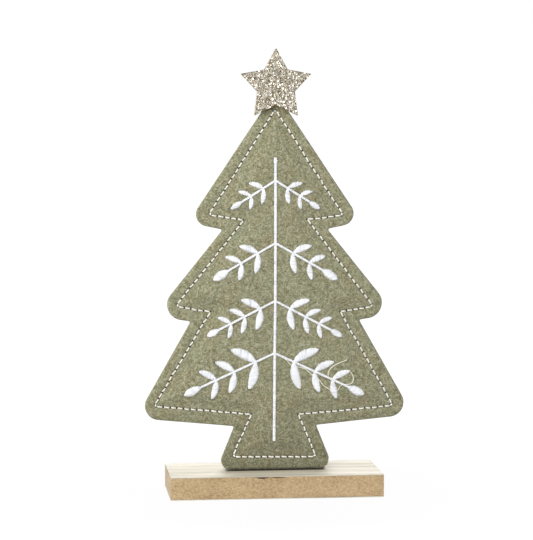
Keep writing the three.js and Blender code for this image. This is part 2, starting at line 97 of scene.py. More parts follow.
def place_node(tree, kind, inputs=None, **settings):
    """A node with its settings, its inputs given as values or as the sockets that feed them"""
    made = tree.nodes.new("ShaderNode" + kind)
    for name, value in settings.items():
        setattr(made, name, value)
    for name, value in (inputs or {}).items():
        if isinstance(value, bpy.types.NodeSocket):
            tree.links.new(value, made.inputs[name])
        else:
            made.inputs[name].default_value = value
    return made


def sum_up(tree, operation, first, second, third=0.0):
    return place_node(tree, "Math", {0: first, 1: second, 2: third}, operation=operation).outputs[0]


def ramp(tree, factor, *stops):
    """A colour that runs through the given stops, each a place and a colour"""
    made = place_node(tree, "ValToRGB", {"Fac": factor})
    elements = made.color_ramp.elements
    while len(elements) < len(stops):
        elements.new(1)
    for element, (place, code) in zip(elements, stops):
        element.position = place
        element.color = (*shade(code), 1)
    return made.outputs["Color"]


def blend_colours(tree, factor, first, second):
    made = place_node(tree, "Mix", {"Factor": factor}, data_type="RGBA")
    for name, value in (("A", first), ("B", second)):
        socket = next(s for s in made.inputs if s.name == name and s.type == "RGBA")
        if isinstance(value, bpy.types.NodeSocket):
            tree.links.new(value, socket)
        else:
            socket.default_value = (*shade(value), 1)
    return next(s for s in made.outputs if s.type == "RGBA")


def surface_material(name, values):
    """A material, its node tree and its surface shader, with the values that hold all over"""
    material = bpy.data.materials.new(name)
    material.use_nodes = True
    surface = material.node_tree.nodes["Principled BSDF"]
    for socket, value in values.items():
        surface.inputs[socket].default_value = value
    return material, material.node_tree, surface


def drive(tree, surface, colour=None, roughness=None, height=None, depth=USUAL_RELIEF):
    """Feeds the surface shader's colour, roughness and relief"""
    if colour is not None:
        tree.links.new(colour, surface.inputs["Base Color"])
    if roughness is not None:
        tree.links.new(roughness, surface.inputs["Roughness"])
    if height is not None:
        bump = place_node(tree, "Bump", {"Height": height, "Strength": 1.0, "Distance": depth})
        tree.links.new(bump.outputs["Normal"], surface.inputs["Normal"])


def effect_group(name, inputs, outputs):
    """An empty shader group with its inputs' usual values, and its two end nodes"""
    group = bpy.data.node_groups.new(name, "ShaderNodeTree")
    sockets = group.interface
    for label, value in inputs.items():
        socket = sockets.new_socket(name=label, in_out="INPUT", socket_type="NodeSocketFloat")
        socket.default_value = value
    for label in outputs:
        sockets.new_socket(name=label, in_out="OUTPUT", socket_type="NodeSocketFloat")
    received = group.nodes.new("NodeGroupInput").outputs
    return group, received, group.nodes.new("NodeGroupOutput").inputs


def use_group(tree, group, **values):
    """Places a shader group; each value names an input with _ for a space"""
    made = tree.nodes.new("ShaderNodeGroup")
    made.node_tree = group
    for name, value in values.items():
        made.inputs[name.replace("_", " ")].default_value = value
    return made.outputs


def noise_field(tree, scale, drawn=(1, 1, 1), turn=(0, 0, 0), detail=2.0, roughness=0.5):
    """Noise in the object's own coordinates, drawn out along its axes and then turned"""
    place = place_node(tree, "TexCoord").outputs["Object"]
    inputs = {"Vector": place, "Rotation": turn, "Scale": drawn}
    mapped = place_node(tree, "Mapping", inputs, vector_type="TEXTURE")
    values = {"Vector": mapped.outputs["Vector"], "Detail": detail, "Roughness": roughness}
    made = place_node(tree, "TexNoise", values)
    if isinstance(scale, bpy.types.NodeSocket):
        tree.links.new(scale, made.inputs["Scale"])
    else:
        made.inputs["Scale"].default_value = scale
    return made.outputs["Fac"]


def spun_thread_group():
    """Stray fibres and slight soiling on a spun thread"""
    usual = {"Fibre Scale": THREAD_FIBRE_SCALE}
    group, inputs, outputs = effect_group("spun_thread", usual, ["Shade", "Height"])
    fibres = noise_field(group, inputs["Fibre Scale"], (1, 1, 3), detail=3)
    soiled = sum_up(group, "MULTIPLY", noise_field(group, SOILING_SCALE), SOILING_SHARE)
    mixed = sum_up(group, "MULTIPLY_ADD", fibres, FIBRE_SHARE, soiled)
    group.links.new(mixed, outputs["Shade"])
    group.links.new(fibres, outputs["Height"])
    return group


spun_thread = spun_thread_group()


def thread_material(name, dark, light, values):
    material, tree, surface = surface_material(name, values)
    thread = use_group(tree, spun_thread)
    colour = ramp(tree, thread["Shade"], (0.3, dark), (0.62, light))
    drive(tree, surface, colour, height=thread["Height"], depth=THREAD_RELIEF)
    return material


def curve_through(points, step):
    """Even points on a smooth curve through the given ones, as centripetal arcs"""
    points = np.asarray(points, float)
    ends = [2 * points[0] - points[1]], [2 * points[-1] - points[-2]]
    points = np.concatenate([ends[0], points, ends[1]])
    pieces = []
    for p in (points[k:k + 4] for k in range(len(points) - 3)):
        gaps = np.sqrt(np.linalg.norm(np.diff(p, axis=0), axis=1))
        knots = np.concatenate([[0], np.cumsum(gaps)])
        count = max(2, math.ceil(np.linalg.norm(p[2] - p[1]) / step))
        at = np.linspace(knots[1], knots[2], count, endpoint=False)[:, None]

        def between(first, second, low, high):
            return (first * (high - at) + second * (at - low)) / (high - low)

        legs = [between(p[k], p[k + 1], knots[k], knots[k + 1]) for k in range(3)]
        arms = [between(legs[k], legs[k + 1], knots[k], knots[k + 2]) for k in range(2)]
        pieces.append(between(arms[0], arms[1], knots[1], knots[2]))
    return np.concatenate([*pieces, points[-2:-1]])


def unit(vectors):
    return vectors / np.linalg.norm(vectors, axis=-1, keepdims=True)


def lengths_along(path):
    return np.concatenate([[0], np.cumsum(np.linalg.norm(np.diff(path, axis=0), axis=1))])


def thread_rings(path, side, radius, turned=0.0):
    """Rings of a plied thread along a path, whose side direction is given"""
    forward = unit(np.gradient(path, axis=0))
    side = unit(side - forward * (side * forward).sum(1, keepdims=True))
    lift = np.cross(side, forward)
    angle = np.linspace(0, 2 * math.pi, THREAD_SIDES, endpoint=False)
    twist = 2 * math.pi * lengths_along(path)[:, None] / TWIST_LENGTH + turned
    lobes = 1 + PLY_GROOVE_SHARE * np.cos(THREAD_PLIES * angle - twist) / 2
    reach = (radius * lobes)[..., None]
    around = np.cos(angle)[:, None] * side[:, None] + np.sin(angle)[:, None] * lift[:, None]
    return path[:, None] + reach * around


def skin(rings, first=0):
    """Faces of a closed form skinned over rings, its points counted from first"""
    count, sides = rings.shape[:2]
    row = first + np.arange(count - 1)[:, None] * sides
    here, ahead = np.arange(sides), (np.arange(sides) + 1) % sides
    quads = np.stack([row + here, row + ahead, row + ahead + sides, row + here + sides], axis=-1)
    last = first + (count - 1) * sides
    caps = [list(range(first, first + sides))[::-1], list(range(last, last + sides))]
    return quads.reshape(-1, 4).tolist() + caps


def skin_all(forms):
    """Points and faces of several skinned forms"""
    faces, first = [], 0
    for rings in forms:
        faces += skin(rings, first)
        first += rings.shape[0] * rings.shape[1]
    return np.concatenate([rings.reshape(-1, 3) for rings in forms]), faces


def add_piece(name, points, faces, *materials):
    """A smooth mesh object with its faces turned outward"""
    mesh = bpy.data.meshes.new(name)
    mesh.from_pydata(np.asarray(points).tolist(), [], faces)
    for material in materials:
        mesh.materials.append(material)
    shaped = bmesh.new()
    shaped.from_mesh(mesh)
    bmesh.ops.recalc_face_normals(shaped, faces=shaped.faces)
    shaped.to_mesh(mesh)
    shaped.free()
    mesh.polygons.foreach_set("use_smooth", [True] * len(mesh.polygons))
    piece = bpy.data.objects.new(name, mesh)
    scene.collection.objects.link(piece)
    return piece


def stand_for(piece, node):
    """The piece joins the root body, and the construction node that it stands for is hidden"""
    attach(piece, "root")
    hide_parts(node)


cream_thread = thread_material(
    "cream_thread", CREAM_DARK, CREAM_LIGHT, {"Roughness": 0.75, "Sheen Weight": 0.2}
)
start_x, start_y, start_z = TAIL_START
tail_route = [(start_x + x * MM, start_y, start_z + z * MM) for x, z in TAIL_ROUTE]
tail_path = curve_through(tail_route, TAIL_STEP)
tail_side = np.cross(np.gradient(tail_path, axis=0), (0, -1, 0))
tail_rings = thread_rings(tail_path, tail_side, TAIL_DIAMETER / 2)
loose_thread = add_piece("loose_thread", *skin_all([tail_rings]), cream_thread)
stand_for(loose_thread, "loose_thread_tail")


# Light and floor: a soft key lamp in front, a little to the left and above, a strong one behind
# for the lit backdrop, a weak one at the right front and one low at each side, in a dim room.
# The floor is plain paper that runs out into white.
LAMPS = {  # a place and a size in metres, and a power in watts
    "key_lamp": ((-0.45, -0.95, 0.55), 0.8, 12.8),
    "fill_lamp": ((0.9, -1.1, 0.5), 1.0, 2.2),
    "back_lamp": ((0.05, 0.85, 0.5), 1.0, 10.6),
    "left_lamp": ((-0.9, -0.02, 0.3), 0.6, 3.7),
    "right_lamp": ((0.9, -0.1, 0.3), 0.6, 2.0),
}
LIT_HEIGHT = 0.17
ROOM_LIGHT = 0.13
FLOOR_HALF = 8.0
PAPER_DARK, PAPER_LIGHT, PAPER_GRAIN_SCALE = "868686", "8b8b8a", 400
PAPER_GLOW, GLOW_STRENGTH = 0.88, 1.09
PAPER_NEAR, PAPER_FAR = 0.1, 0.3


def add_lamp(name, place, size, power):
    lamp = bpy.data.objects.new(name, bpy.data.lights.new(name, "AREA"))
    lamp.data.energy = power
    lamp.data.size = size
    lamp.location = place
    aim = Vector((0, 0, LIT_HEIGHT)) - Vector(place)
    lamp.rotation_euler = aim.to_track_quat("-Z", "Y").to_euler()
    lamp.visible_camera = False
    scene.collection.objects.link(lamp)


def white_room():
    world = bpy.data.worlds.new("white_room")
    scene.world = world
    world.use_nodes = True
    tree = world.node_tree
    seen = place_node(tree, "LightPath").outputs["Is Camera Ray"]
    strength = sum_up(tree, "MULTIPLY_ADD", seen, 1 - ROOM_LIGHT, ROOM_LIGHT)
    tree.links.new(strength, tree.nodes["Background"].inputs["Strength"])
    tree.nodes["Background"].inputs["Color"].default_value = (1, 1, 1, 1)


def fade(tree, value, start, end, low=0.0, high=1.0, kind="LINEAR"):
    """Goes from low to high while the value goes from start to end, and is held beyond them"""
    inputs = {"Value": value, "From Min": start, "From Max": end, "To Min": low, "To Max": high}
    return place_node(tree, "MapRange", inputs, interpolation_type=kind).outputs["Result"]


def paper_material():
    """White paper that the lamps shade round the base and that glows evenly further out"""
    values = {"Roughness": 0.9, "Specular IOR Level": 0.1}
    material, tree, surface = surface_material("white_paper", values)
    grain = noise_field(tree, PAPER_GRAIN_SCALE)
    drive(tree, surface, ramp(tree, grain, (0.2, PAPER_DARK), (0.8, PAPER_LIGHT)))
    place = place_node(tree, "TexCoord").outputs["Object"]
    far = place_node(tree, "VectorMath", {0: place}, operation="LENGTH").outputs["Value"]
    share = fade(tree, far, PAPER_NEAR, PAPER_FAR, low=PAPER_GLOW, kind="SMOOTHSTEP")
    seen = place_node(tree, "LightPath").outputs["Is Camera Ray"]
    glow = place_node(tree, "Emission", {"Color": (1, 1, 1, 1), "Strength": GLOW_STRENGTH})
    mixed = place_node(tree, "MixShader", {0: sum_up(tree, "MULTIPLY", share, seen)})
    tree.links.new(surface.outputs[0], mixed.inputs[1])
    tree.links.new(glow.outputs[0], mixed.inputs[2])
    tree.links.new(mixed.outputs[0], tree.nodes["Material Output"].inputs["Surface"])
    return material


for name, (place, size, power) in LAMPS.items():
    add_lamp(name, place, size, power)
white_room()
corner_sides = [(-1, -1), (1, -1), (1, 1), (-1, 1)]
floor_corners = [(x * FLOOR_HALF, y * FLOOR_HALF, 0) for x, y in corner_sides]
floor_mesh = bpy.data.meshes.new("paper_floor")
floor_mesh.from_pydata(floor_corners, [], [(0, 1, 2, 3)])
floor_mesh.materials.append(paper_material())
paper_floor = bpy.data.objects.new("paper_floor", floor_mesh)
scene.collection.objects.link(paper_floor)


# Base core: a sawn block of fibreboard, bare on its front, back and ends. Its edges are slightly
# rubbed, the saw tore and burnt the upper front one, and it is bored for the two nails.
CORE_ARRIS, CORE_SEED = 0.35 * MM, 3
BOARD_STATION = 1.2 * MM
ARRIS_STEPS = 4
RUBBED, RUBBED_LENGTH = 0.12 * MM, 4 * MM
TORN_STRETCH = (-15 * MM, 6 * MM)
TORN_DEPTH, TORN_LENGTH, TORN_SHARE = 1.1 * MM, 1.7 * MM, 0.1
BURNT_SPOTS = [(-11.4 * MM, 6.2 * MM, 1.15), (-1.0 * MM, 6.0 * MM, 0.8)]
BURNT_DEPTH, BURNT_WOOD, BURNT_RAG_SCALE = 1.0 * MM, "2e1a0c", 1100
NAIL_BORE = 1.3 * MM
BORE_OVERRUN = 1.0 * MM
BORE_SIDES = 32
SHARP_DEGREES = 40
GRAIN_SCALE, SPECK_SCALE, BAND_SCALE = 1100, 700, 90
GRAIN_SHARE, BAND_SHARE, SPECK_STRENGTH = 0.72, 0.28, 0.45
CHIP_RELIEF = 0.12 * MM
CORE_DARK, CORE_MID, CORE_LIGHT = "8f6a48", "c4a980", "dbc39c"


def pressed_chips_group():
    """The speckle of pressed wood fibres: fine grain, dark specks and broad bands"""
    usual = {"Grain Scale": GRAIN_SCALE, "Speck Scale": SPECK_SCALE}
    group, inputs, outputs = effect_group("pressed_chips", usual, ["Shade", "Specks", "Height"])
    grain = noise_field(group, inputs["Grain Scale"], (1.6, 1.6, 1), detail=3, roughness=0.7)
    bands = noise_field(group, BAND_SCALE, (3, 3, 1), detail=3)
    bands = sum_up(group, "MULTIPLY", bands, BAND_SHARE)
    banded = sum_up(group, "MULTIPLY_ADD", grain, GRAIN_SHARE, bands)
    speck = noise_field(group, inputs["Speck Scale"], (1.3, 1.3, 1), detail=1)
    specks = fade(group, speck, 0.66, 0.74)
    group.links.new(banded, outputs["Shade"])
    group.links.new(specks, outputs["Specks"])
    group.links.new(grain, outputs["Height"])
    return group


pressed_chips = pressed_chips_group()


def board_material(name, dark, middle, light, roughness):
    """Bare pressed board: speckled, and a little pale and fuzzy where it is seen along its face"""
    values = {"Roughness": roughness, "Sheen Weight": 0.16, "Sheen Roughness": 0.4}
    material, tree, surface = surface_material(name, values)
    chips = use_group(tree, pressed_chips)
    colour = ramp(tree, chips["Shade"], (0.28, dark), (0.5, middle), (0.7, light))
    specks = sum_up(tree, "MULTIPLY", chips["Specks"], SPECK_STRENGTH)
    speckled = blend_colours(tree, specks, colour, dark)
    drive(tree, surface, speckled, height=chips["Height"], depth=CHIP_RELIEF)
    return material


def board_layer(low, high, arris, seed, torn=0):
    """Rings along a board whose edges are slightly rubbed and whose upper front one may be torn"""
    low, high = np.array(low), np.array(high)
    quarter = np.linspace(0, math.pi / 2, ARRIS_STEPS)
    cosine, sine = np.cos(quarter), np.sin(quarter)
    edges = [  # each lengthwise edge's corner, the way inward from it, and the turn round it
        ((low[1], high[2]), (1, -1), (-cosine, sine)),
        ((high[1], high[2]), (-1, -1), (sine, cosine)),
        ((high[1], low[2]), (-1, 1), (cosine, -sine)),
        ((low[1], low[2]), (1, 1), (-sine, -cosine)),
    ]
    count = math.ceil((high[0] - low[0]) / BOARD_STATION)
    middle = np.linspace(low[0] + arris, high[0] - arris, count)
    ends = [(low[0] + arris * (1 - math.cos(a)), arris * (1 - math.sin(a))) for a in quarter]
    stations = ends + [(x, 0.0) for x in middle[1:-1]]
    stations += [(low[0] + high[0] - x, inset) for x, inset in reversed(ends)]
    rings = []
    for x, inset in stations:
        ring = []
        for (y, z), (dy, dz), turn in edges:
            place = Vector((x / RUBBED_LENGTH, y / MM, z / MM + seed))
            wear = RUBBED * (0.5 + noise.noise(place))
            if (dy, dz) == (1, -1) and TORN_STRETCH[0] < x < TORN_STRETCH[1]:
                wear += torn * max(0, noise.noise(Vector((x / TORN_LENGTH, 0, seed))) + TORN_SHARE)
            radius = arris + max(wear, 0)
            centre = y + dy * (radius + inset), z + dz * (radius + inset)
            round_y, round_z = (centre[k] + radius * turn[k] for k in range(2))
            ring += zip([x] * ARRIS_STEPS, round_y, round_z)
        rings.append(ring)
    return np.array(rings)


def bore_for_nails(piece):
    """Cuts the two nails' holes right through a piece of the base"""
    for name in ("support_nail_left", "support_nail_right"):
        nail_low, nail_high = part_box(name)
        middle = (nail_low + nail_high) / 2
        low, high = piece.bound_box[0][2] - BORE_OVERRUN, piece.bound_box[1][2] + BORE_OVERRUN
        angle = np.linspace(0, 2 * math.pi, BORE_SIDES, endpoint=False)
        across, back = middle.x + NAIL_BORE * np.cos(angle), NAIL_BORE * np.sin(angle)
        rings = np.array([[(x, y, z) for x, y in zip(across, back)] for z in (low, high)])
        borer = add_piece("borer", *skin_all([rings]))
        cut = piece.modifiers.new("bore", "BOOLEAN")
        cut.object = borer
        cut.solver = "EXACT"
        bpy.context.view_layer.update()
        bored = piece.evaluated_get(bpy.context.evaluated_depsgraph_get())
        shaped = bpy.data.meshes.new_from_object(bored)
        piece.modifiers.remove(cut)
        piece.data = shaped
        bpy.data.objects.remove(borer)
    piece.data.set_sharp_from_angle(angle=math.radians(SHARP_DEGREES))
    piece.modifiers.new("flat_faces_first", "WEIGHTED_NORMAL").keep_sharp = True


def burnt_edge(tree, top, front):
    """Where the saw tore and burnt the front edge just under the facing"""
    place = place_node(tree, "TexCoord").outputs["Object"]
    x, y, z = place_node(tree, "SeparateXYZ", {0: place}).outputs
    ragged = noise_field(tree, BURNT_RAG_SCALE, (3, 1, 1))
    strongest = 0.0
    for middle, reach, strength in BURNT_SPOTS:
        away = sum_up(tree, "ABSOLUTE", sum_up(tree, "SUBTRACT", x, middle), 0)
        strongest = sum_up(tree, "MAXIMUM", fade(tree, away, 0, reach, strength, 0), strongest)
    deep = sum_up(tree, "MULTIPLY_ADD", z, 1 / BURNT_DEPTH, -top / BURNT_DEPTH)
    burnt = sum_up(tree, "ADD", sum_up(tree, "ADD", strongest, ragged), deep)
    at_front = fade(tree, y, front, front + BURNT_DEPTH, 1, 0)
    charred = sum_up(tree, "MULTIPLY", fade(tree, burnt, 0.42, 0.6), at_front)
    return sum_up(tree, "MULTIPLY", charred, sum_up(tree, "GREATER_THAN", strongest, 0.02))


core_low, core_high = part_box("base_core")
fibreboard = board_material("fibreboard", CORE_DARK, CORE_MID, CORE_LIGHT, 0.9)
core_surface = fibreboard.node_tree.nodes["Principled BSDF"]
sawn_colour = core_surface.inputs["Base Color"].links[0].from_socket
burnt = burnt_edge(fibreboard.node_tree, core_high.z, core_low.y)
scorched_colour = blend_colours(fibreboard.node_tree, burnt, sawn_colour, BURNT_WOOD)
drive(fibreboard.node_tree, core_surface, scorched_colour)
core_rings = board_layer(core_low, core_high, CORE_ARRIS, CORE_SEED, TORN_DEPTH)
core = add_piece("base_block", *skin_all([core_rings]), fibreboard)
bore_for_nails(core)
stand_for(core, "base_core")


# Facings: thin limed wood glued to the top and the underside of the core, grain along the board.
# The lower one lets the base lie flat and keeps it from warping.
FACING_ARRIS, FACING_SEED = 0.2 * MM, 11
FOOT_HALF, FOOT_FRONT, FOOT_GLOOM = 31 * MM, 5.2 * MM, 3.4 * MM
FOOT_GLOOM_COLOUR, FOOT_GLOOM_STRENGTH = "14120c", 0.96
LIMED_DARK, LIMED_MID, LIMED_LIGHT = "b5ac95", "d6cfbc", "e4dece"
STREAK_SCALE, PORE_SCALE, CLOUD_SCALE = 170, 1100, 25
STREAK_SHARE, PORE_SHARE, CLOUD_SHARE = 0.6, 0.2, 0.2
LIMED_GRAIN_DEGREES = -3
LIMED_RELIEF = 0.08 * MM


def painted_foot_shadow(tree):
    """Painted shadow where the felt's foot shuts the facing away from the light: a soft dark band
    all round it
    """
    place = place_node(tree, "TexCoord").outputs["Object"]
    x, y = place_node(tree, "SeparateXYZ", {0: place}).outputs[:2]
    beside = sum_up(tree, "SUBTRACT", sum_up(tree, "ABSOLUTE", x, 0), FOOT_HALF)
    ahead = sum_up(tree, "SUBTRACT", sum_up(tree, "ABSOLUTE", y, 0), FOOT_FRONT)
    away = sum_up(tree, "MAXIMUM", beside, ahead)
    return fade(tree, away, 0, FOOT_GLOOM, FOOT_GLOOM_STRENGTH, 0, "SMOOTHSTEP")


def limed_wood_material():
    """Limed wood: pale streaks and fine pores along the board, with faint clouds, and a painted
    shadow round the felt's foot
    """
    material, tree, surface = surface_material("limed_wood", {"Roughness": 0.62})
    turn = (0, 0, math.radians(LIMED_GRAIN_DEGREES))
    streaks = noise_field(tree, STREAK_SCALE, (22, 1, 1), turn, detail=4, roughness=0.6)
    pores = noise_field(tree, PORE_SCALE, (16, 1, 1), turn)
    clouds = sum_up(tree, "MULTIPLY", noise_field(tree, CLOUD_SCALE, (3, 1, 1)), CLOUD_SHARE)
    mixed = sum_up(tree, "MULTIPLY_ADD", streaks, STREAK_SHARE, clouds)
    mixed = sum_up(tree, "MULTIPLY_ADD", pores, PORE_SHARE, mixed)
    colour = ramp(tree, mixed, (0.38, LIMED_DARK), (0.49, LIMED_MID), (0.6, LIMED_LIGHT))
    # Painted shadow: the facing darkens in a band round the felt's foot
    colour = blend_colours(tree, painted_foot_shadow(tree), colour, FOOT_GLOOM_COLOUR)
    drive(tree, surface, colour, height=mixed, depth=LIMED_RELIEF)
    return material


def finish_node(node, material):
    """Gives its finish to a construction node that stays as it is"""
    nodes[node].data.materials.clear()
    nodes[node].data.materials.append(material)


limed_wood = limed_wood_material()
facing_rings = board_layer(*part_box("base_top_veneer"), FACING_ARRIS, FACING_SEED)
top_facing = add_piece("top_facing", *skin_all([facing_rings]), limed_wood)
bore_for_nails(top_facing)
stand_for(top_facing, "base_top_veneer")
finish_node("base_bottom_veneer", limed_wood)


# Support nails: bright drawn wire nails with flat heads. They are driven up through the base from
# below, into slots in the stiffening panel.
STEEL_DARK, STEEL_LIGHT = "8f9296", "c9ccd0"
DRAWN_SCALE, DRAWN_RELIEF = 3000, 0.01 * MM
POLISHED, DULLED = 0.22, 0.45


def drawn_steel_material():
    """Steel wire with fine lines along it from the drawing"""
    material, tree, surface = surface_material("drawn_steel", {"Metallic": 1.0})
    drawn = noise_field(tree, DRAWN_SCALE, (1, 1, 20))
    colour = ramp(tree, drawn, (0.3, STEEL_DARK), (0.7, STEEL_LIGHT))
    polish = fade(tree, drawn, 0, 1, POLISHED, DULLED)
    drive(tree, surface, colour, polish, drawn, DRAWN_RELIEF)
    return material


drawn_steel = drawn_steel_material()
for name in ("support_nail_left", "support_nail_right"):
    finish_node(name, drawn_steel)


# Glue: hot-melt glue, clouded and amber where it is thick. One film holds the felt's foot to the
# base, and one pad behind the star holds it to the felt's tip.
GLUE_THIN, GLUE_THICK, GLUE_CLOUD_SCALE = "efe6cc", "cdbb8c", 350


def set_glue_material():
    material, tree, surface = surface_material("set_glue", {"Roughness": 0.3, "Coat Weight": 0.2})
    clouds = noise_field(tree, GLUE_CLOUD_SCALE, detail=3)
    drive(tree, surface, ramp(tree, clouds, (0.3, GLUE_THICK), (0.7, GLUE_THIN)), height=clouds)
    return material


set_glue = set_glue_material()
for name in ("foot_glue_film", "star_glue_pad"):
    finish_node(name, set_glue)


# Stiffening panel: smooth hardboard cut to the seam's outline, which keeps the felt upright. It
# stands in the stitched pocket, between the two waddings, and its foot is slotted for the nails.
HARDBOARD_DARK, HARDBOARD_MID, HARDBOARD_LIGHT = "4c3320", "7a5a3c", "8f6d4b"
hardboard = board_material("hardboard", HARDBOARD_DARK, HARDBOARD_MID, HARDBOARD_LIGHT, 0.6)
finish_node("stiffening_panel", hardboard)


# Tree outline: the shape that both felt panels are cut to and the hand-guided seam inside it,
# which the filling, the felt and the seam threads all follow.
TREE_HEIGHT = 250 * MM
TREE_HALF_WIDTH = 92.4 * MM
OUTLINE_SHARES = [
    (0, 1), (0.623, 0.656), (0.376, 0.637), (0.871, 0.41),
    (0.606, 0.395), (1, 0.14), (0.2955, 0.115), (0.42, 0),
]
CORNER_RADII = [3.5 * MM, 8.1 * MM, 0.8 * MM, 10.4 * MM, 0.8 * MM, 9.6 * MM, 0.8 * MM, 6 * MM]
SEAM_SHARES = [
    (0.0015, 0.953), (0.492, 0.674), (0.232, 0.6625), (0.71, 0.431), (0.472, 0.417),
    (0.858, 0.1645), (0.1695, 0.145), (0.298, 0.031), (-0.307, 0.0335), (-0.172, 0.147),
    (-0.868, 0.172), (-0.4655, 0.42), (-0.7105, 0.4365), (-0.2235, 0.6615), (-0.4745, 0.6765),
]
OUTLINE_STEP = 0.6 * MM
CHANNEL_REACH, PUFF_END = 1.5 * MM, 12 * MM
FELT = 3 * MM
foot_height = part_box("felt_front_panel")[0].z


def crossed(first, second):
    """The cross product of flat vectors: above zero where the second turns left of the first"""
    return first[..., 0] * second[..., 1] - first[..., 1] * second[..., 0]


def moved_sides(corners, distances):
    """The corners of a clockwise outline after each side moves inward by its own distance"""
    along = unit(np.roll(corners, -1, axis=0) - corners)
    start = corners + np.column_stack([along[:, 1], -along[:, 0]]) * np.reshape(distances, (-1, 1))
    before, before_along = np.roll(start, 1, axis=0), np.roll(along, 1, axis=0)
    reach = crossed(start - before, along) / crossed(before_along, along)
    return before + before_along * reach[:, None]


def evened(ring, step):
    """A closed outline again, with points about step apart"""
    closed = np.concatenate([ring, ring[:1]])
    along = lengths_along(closed)
    at = np.linspace(0, along[-1], round(along[-1] / step), endpoint=False)
    return np.column_stack([np.interp(at, along, closed[:, k]) for k in range(2)])


def rounded(corners, radii, step):
    """A clockwise outline with its corners rounded"""
    points = []
    for k, (corner, radius) in enumerate(zip(corners, radii)):
        arriving = unit(corner - corners[k - 1])
        leaving = unit(corners[(k + 1) % len(corners)] - corner)
        turn = math.atan2(crossed(arriving, leaving), arriving @ leaving)
        start = corner - arriving * radius * math.tan(abs(turn) / 2)
        inward = np.array([-arriving[1], arriving[0]]) * math.copysign(radius, turn)
        for share in np.linspace(0, 1, max(3, math.ceil(abs(turn) * radius / step))):
            cosine, sine = math.cos(turn * share), math.sin(turn * share)
            spoke = np.array([[cosine, -sine], [sine, cosine]]) @ -inward
            points.append(start + inward + spoke)
    return evened(np.array(points), step)


def distance_inside(points, corners):
    """How far each point lies inside a closed outline; below zero outside it"""
    nearest = np.full(len(points), np.inf)
    inside = np.zeros(len(points), bool)
    for start, end in zip(corners, np.roll(corners, -1, axis=0)):
        side = end - start
        share = np.clip((points - start) @ side / (side @ side), 0, 1)
        away = np.linalg.norm(points - start - share[:, None] * side, axis=1)
        nearest = np.minimum(nearest, away)
        spans = (start[1] > points[:, 1]) != (end[1] > points[:, 1])
        if side[1]:
            crossing = start[0] + (points[:, 1] - start[1]) * side[0] / side[1]
            inside ^= spans & (points[:, 0] < crossing)
    return np.where(inside, nearest, -nearest)


def eased(share, swing=1):
    """A swing that sets in and ends softly while its share goes from 0 to 1"""
    share = np.clip(share, 0, 1)
    return swing * share ** 2 * (3 - 2 * share)


def fullness(depth):
    """How far the filling has swelled the felt at a depth inside the seam, from 0 to 1"""
    return eased((depth - CHANNEL_REACH) / (PUFF_END - CHANNEL_REACH))


def on_tree(shares):
    """Places given as shares of the tree's half width and height, in metres"""
    return np.array([(x * TREE_HALF_WIDTH, foot_height + z * TREE_HEIGHT) for x, z in shares])


left_half = [(-x, z) for x, z in OUTLINE_SHARES[:0:-1]]
tree_corners = on_tree(OUTLINE_SHARES + left_half)
tree_radii = CORNER_RADII + CORNER_RADII[:0:-1]
seam_corners = on_tree(SEAM_SHARES)
outline = rounded(tree_corners, tree_radii, OUTLINE_STEP)
outline_inward = unit(np.roll(outline, -1, axis=0) - np.roll(outline, 1, axis=0))
outline_inward = np.column_stack([outline_inward[:, 1], -outline_inward[:, 0]])


# Filling: two sheets of needled polyester wadding, one each side of the hardboard, and the
# tear-away sheet that the embroidery was sewn through. They lie loose in the stitched pocket.
FILLING_INSET = 5 * MM
BACKING_INSET = 6.5 * MM
SHEET_CELL = 2.5 * MM
SAME_PLACE = 1e-6  # in the millimetres that the triangles are made in
WADDING_WAVE, WAVE_LENGTH = 0.05 * MM, 9 * MM
FLEECE_DARK, FLEECE_LIGHT = "dcdcd6", "fbfbf7"
FLEECE_FIBRE_SCALE, FLEECE_RELIEF = 500, 0.2 * MM
FELT_FIBRE_SCALE, FLECK_SCALE, PATCH_SCALE = 1600, 850, 95
FIBRE_TURNS_DEGREES = (8, 52, 97, 141)
LIGHT_RISE, DARK_RISE = 0.6, 0.5


def pressed_fibres_group():
    """Matted fibres: light and dark ones that lie every way, flecks of colour and patches"""
    usual = {
        "Fibre Scale": FELT_FIBRE_SCALE, "Fleck Scale": FLECK_SCALE, "Patch Scale": PATCH_SCALE
    }
    labels = ["Light", "Dark", "Flecks", "Patches", "Height"]
    group, inputs, outputs = effect_group("pressed_fibres", usual, labels)
    layers = [
        noise_field(group, inputs["Fibre Scale"], (1, 1, 6), (0, math.radians(turn), 0), detail=1)
        for turn in FIBRE_TURNS_DEGREES
    ]
    light = sum_up(group, "MAXIMUM", layers[0], layers[2])
    dark = sum_up(group, "MINIMUM", layers[1], layers[3])
    flecks = noise_field(group, inputs["Fleck Scale"], detail=3, roughness=0.6)
    patches = noise_field(group, inputs["Patch Scale"], detail=4, roughness=0.6)
    height = sum_up(group, "MULTIPLY", dark, DARK_RISE)
    height = sum_up(group, "MULTIPLY_ADD", light, LIGHT_RISE, height)
    for label, value in zip(labels, (light, dark, flecks, patches, height)):
        group.links.new(value, outputs[label])
    return group


pressed_fibres = pressed_fibres_group()


def fleece_material():
    values = {"Roughness": 1.0, "Sheen Weight": 0.3}
    material, tree, surface = surface_material("white_fleece", values)
    fibres = use_group(tree, pressed_fibres, Fibre_Scale=FLEECE_FIBRE_SCALE)
    colour = ramp(tree, fibres["Light"], (0.4, FLEECE_DARK), (0.7, FLEECE_LIGHT))
    drive(tree, surface, colour, height=fibres["Height"], depth=FLEECE_RELIEF)
    return material


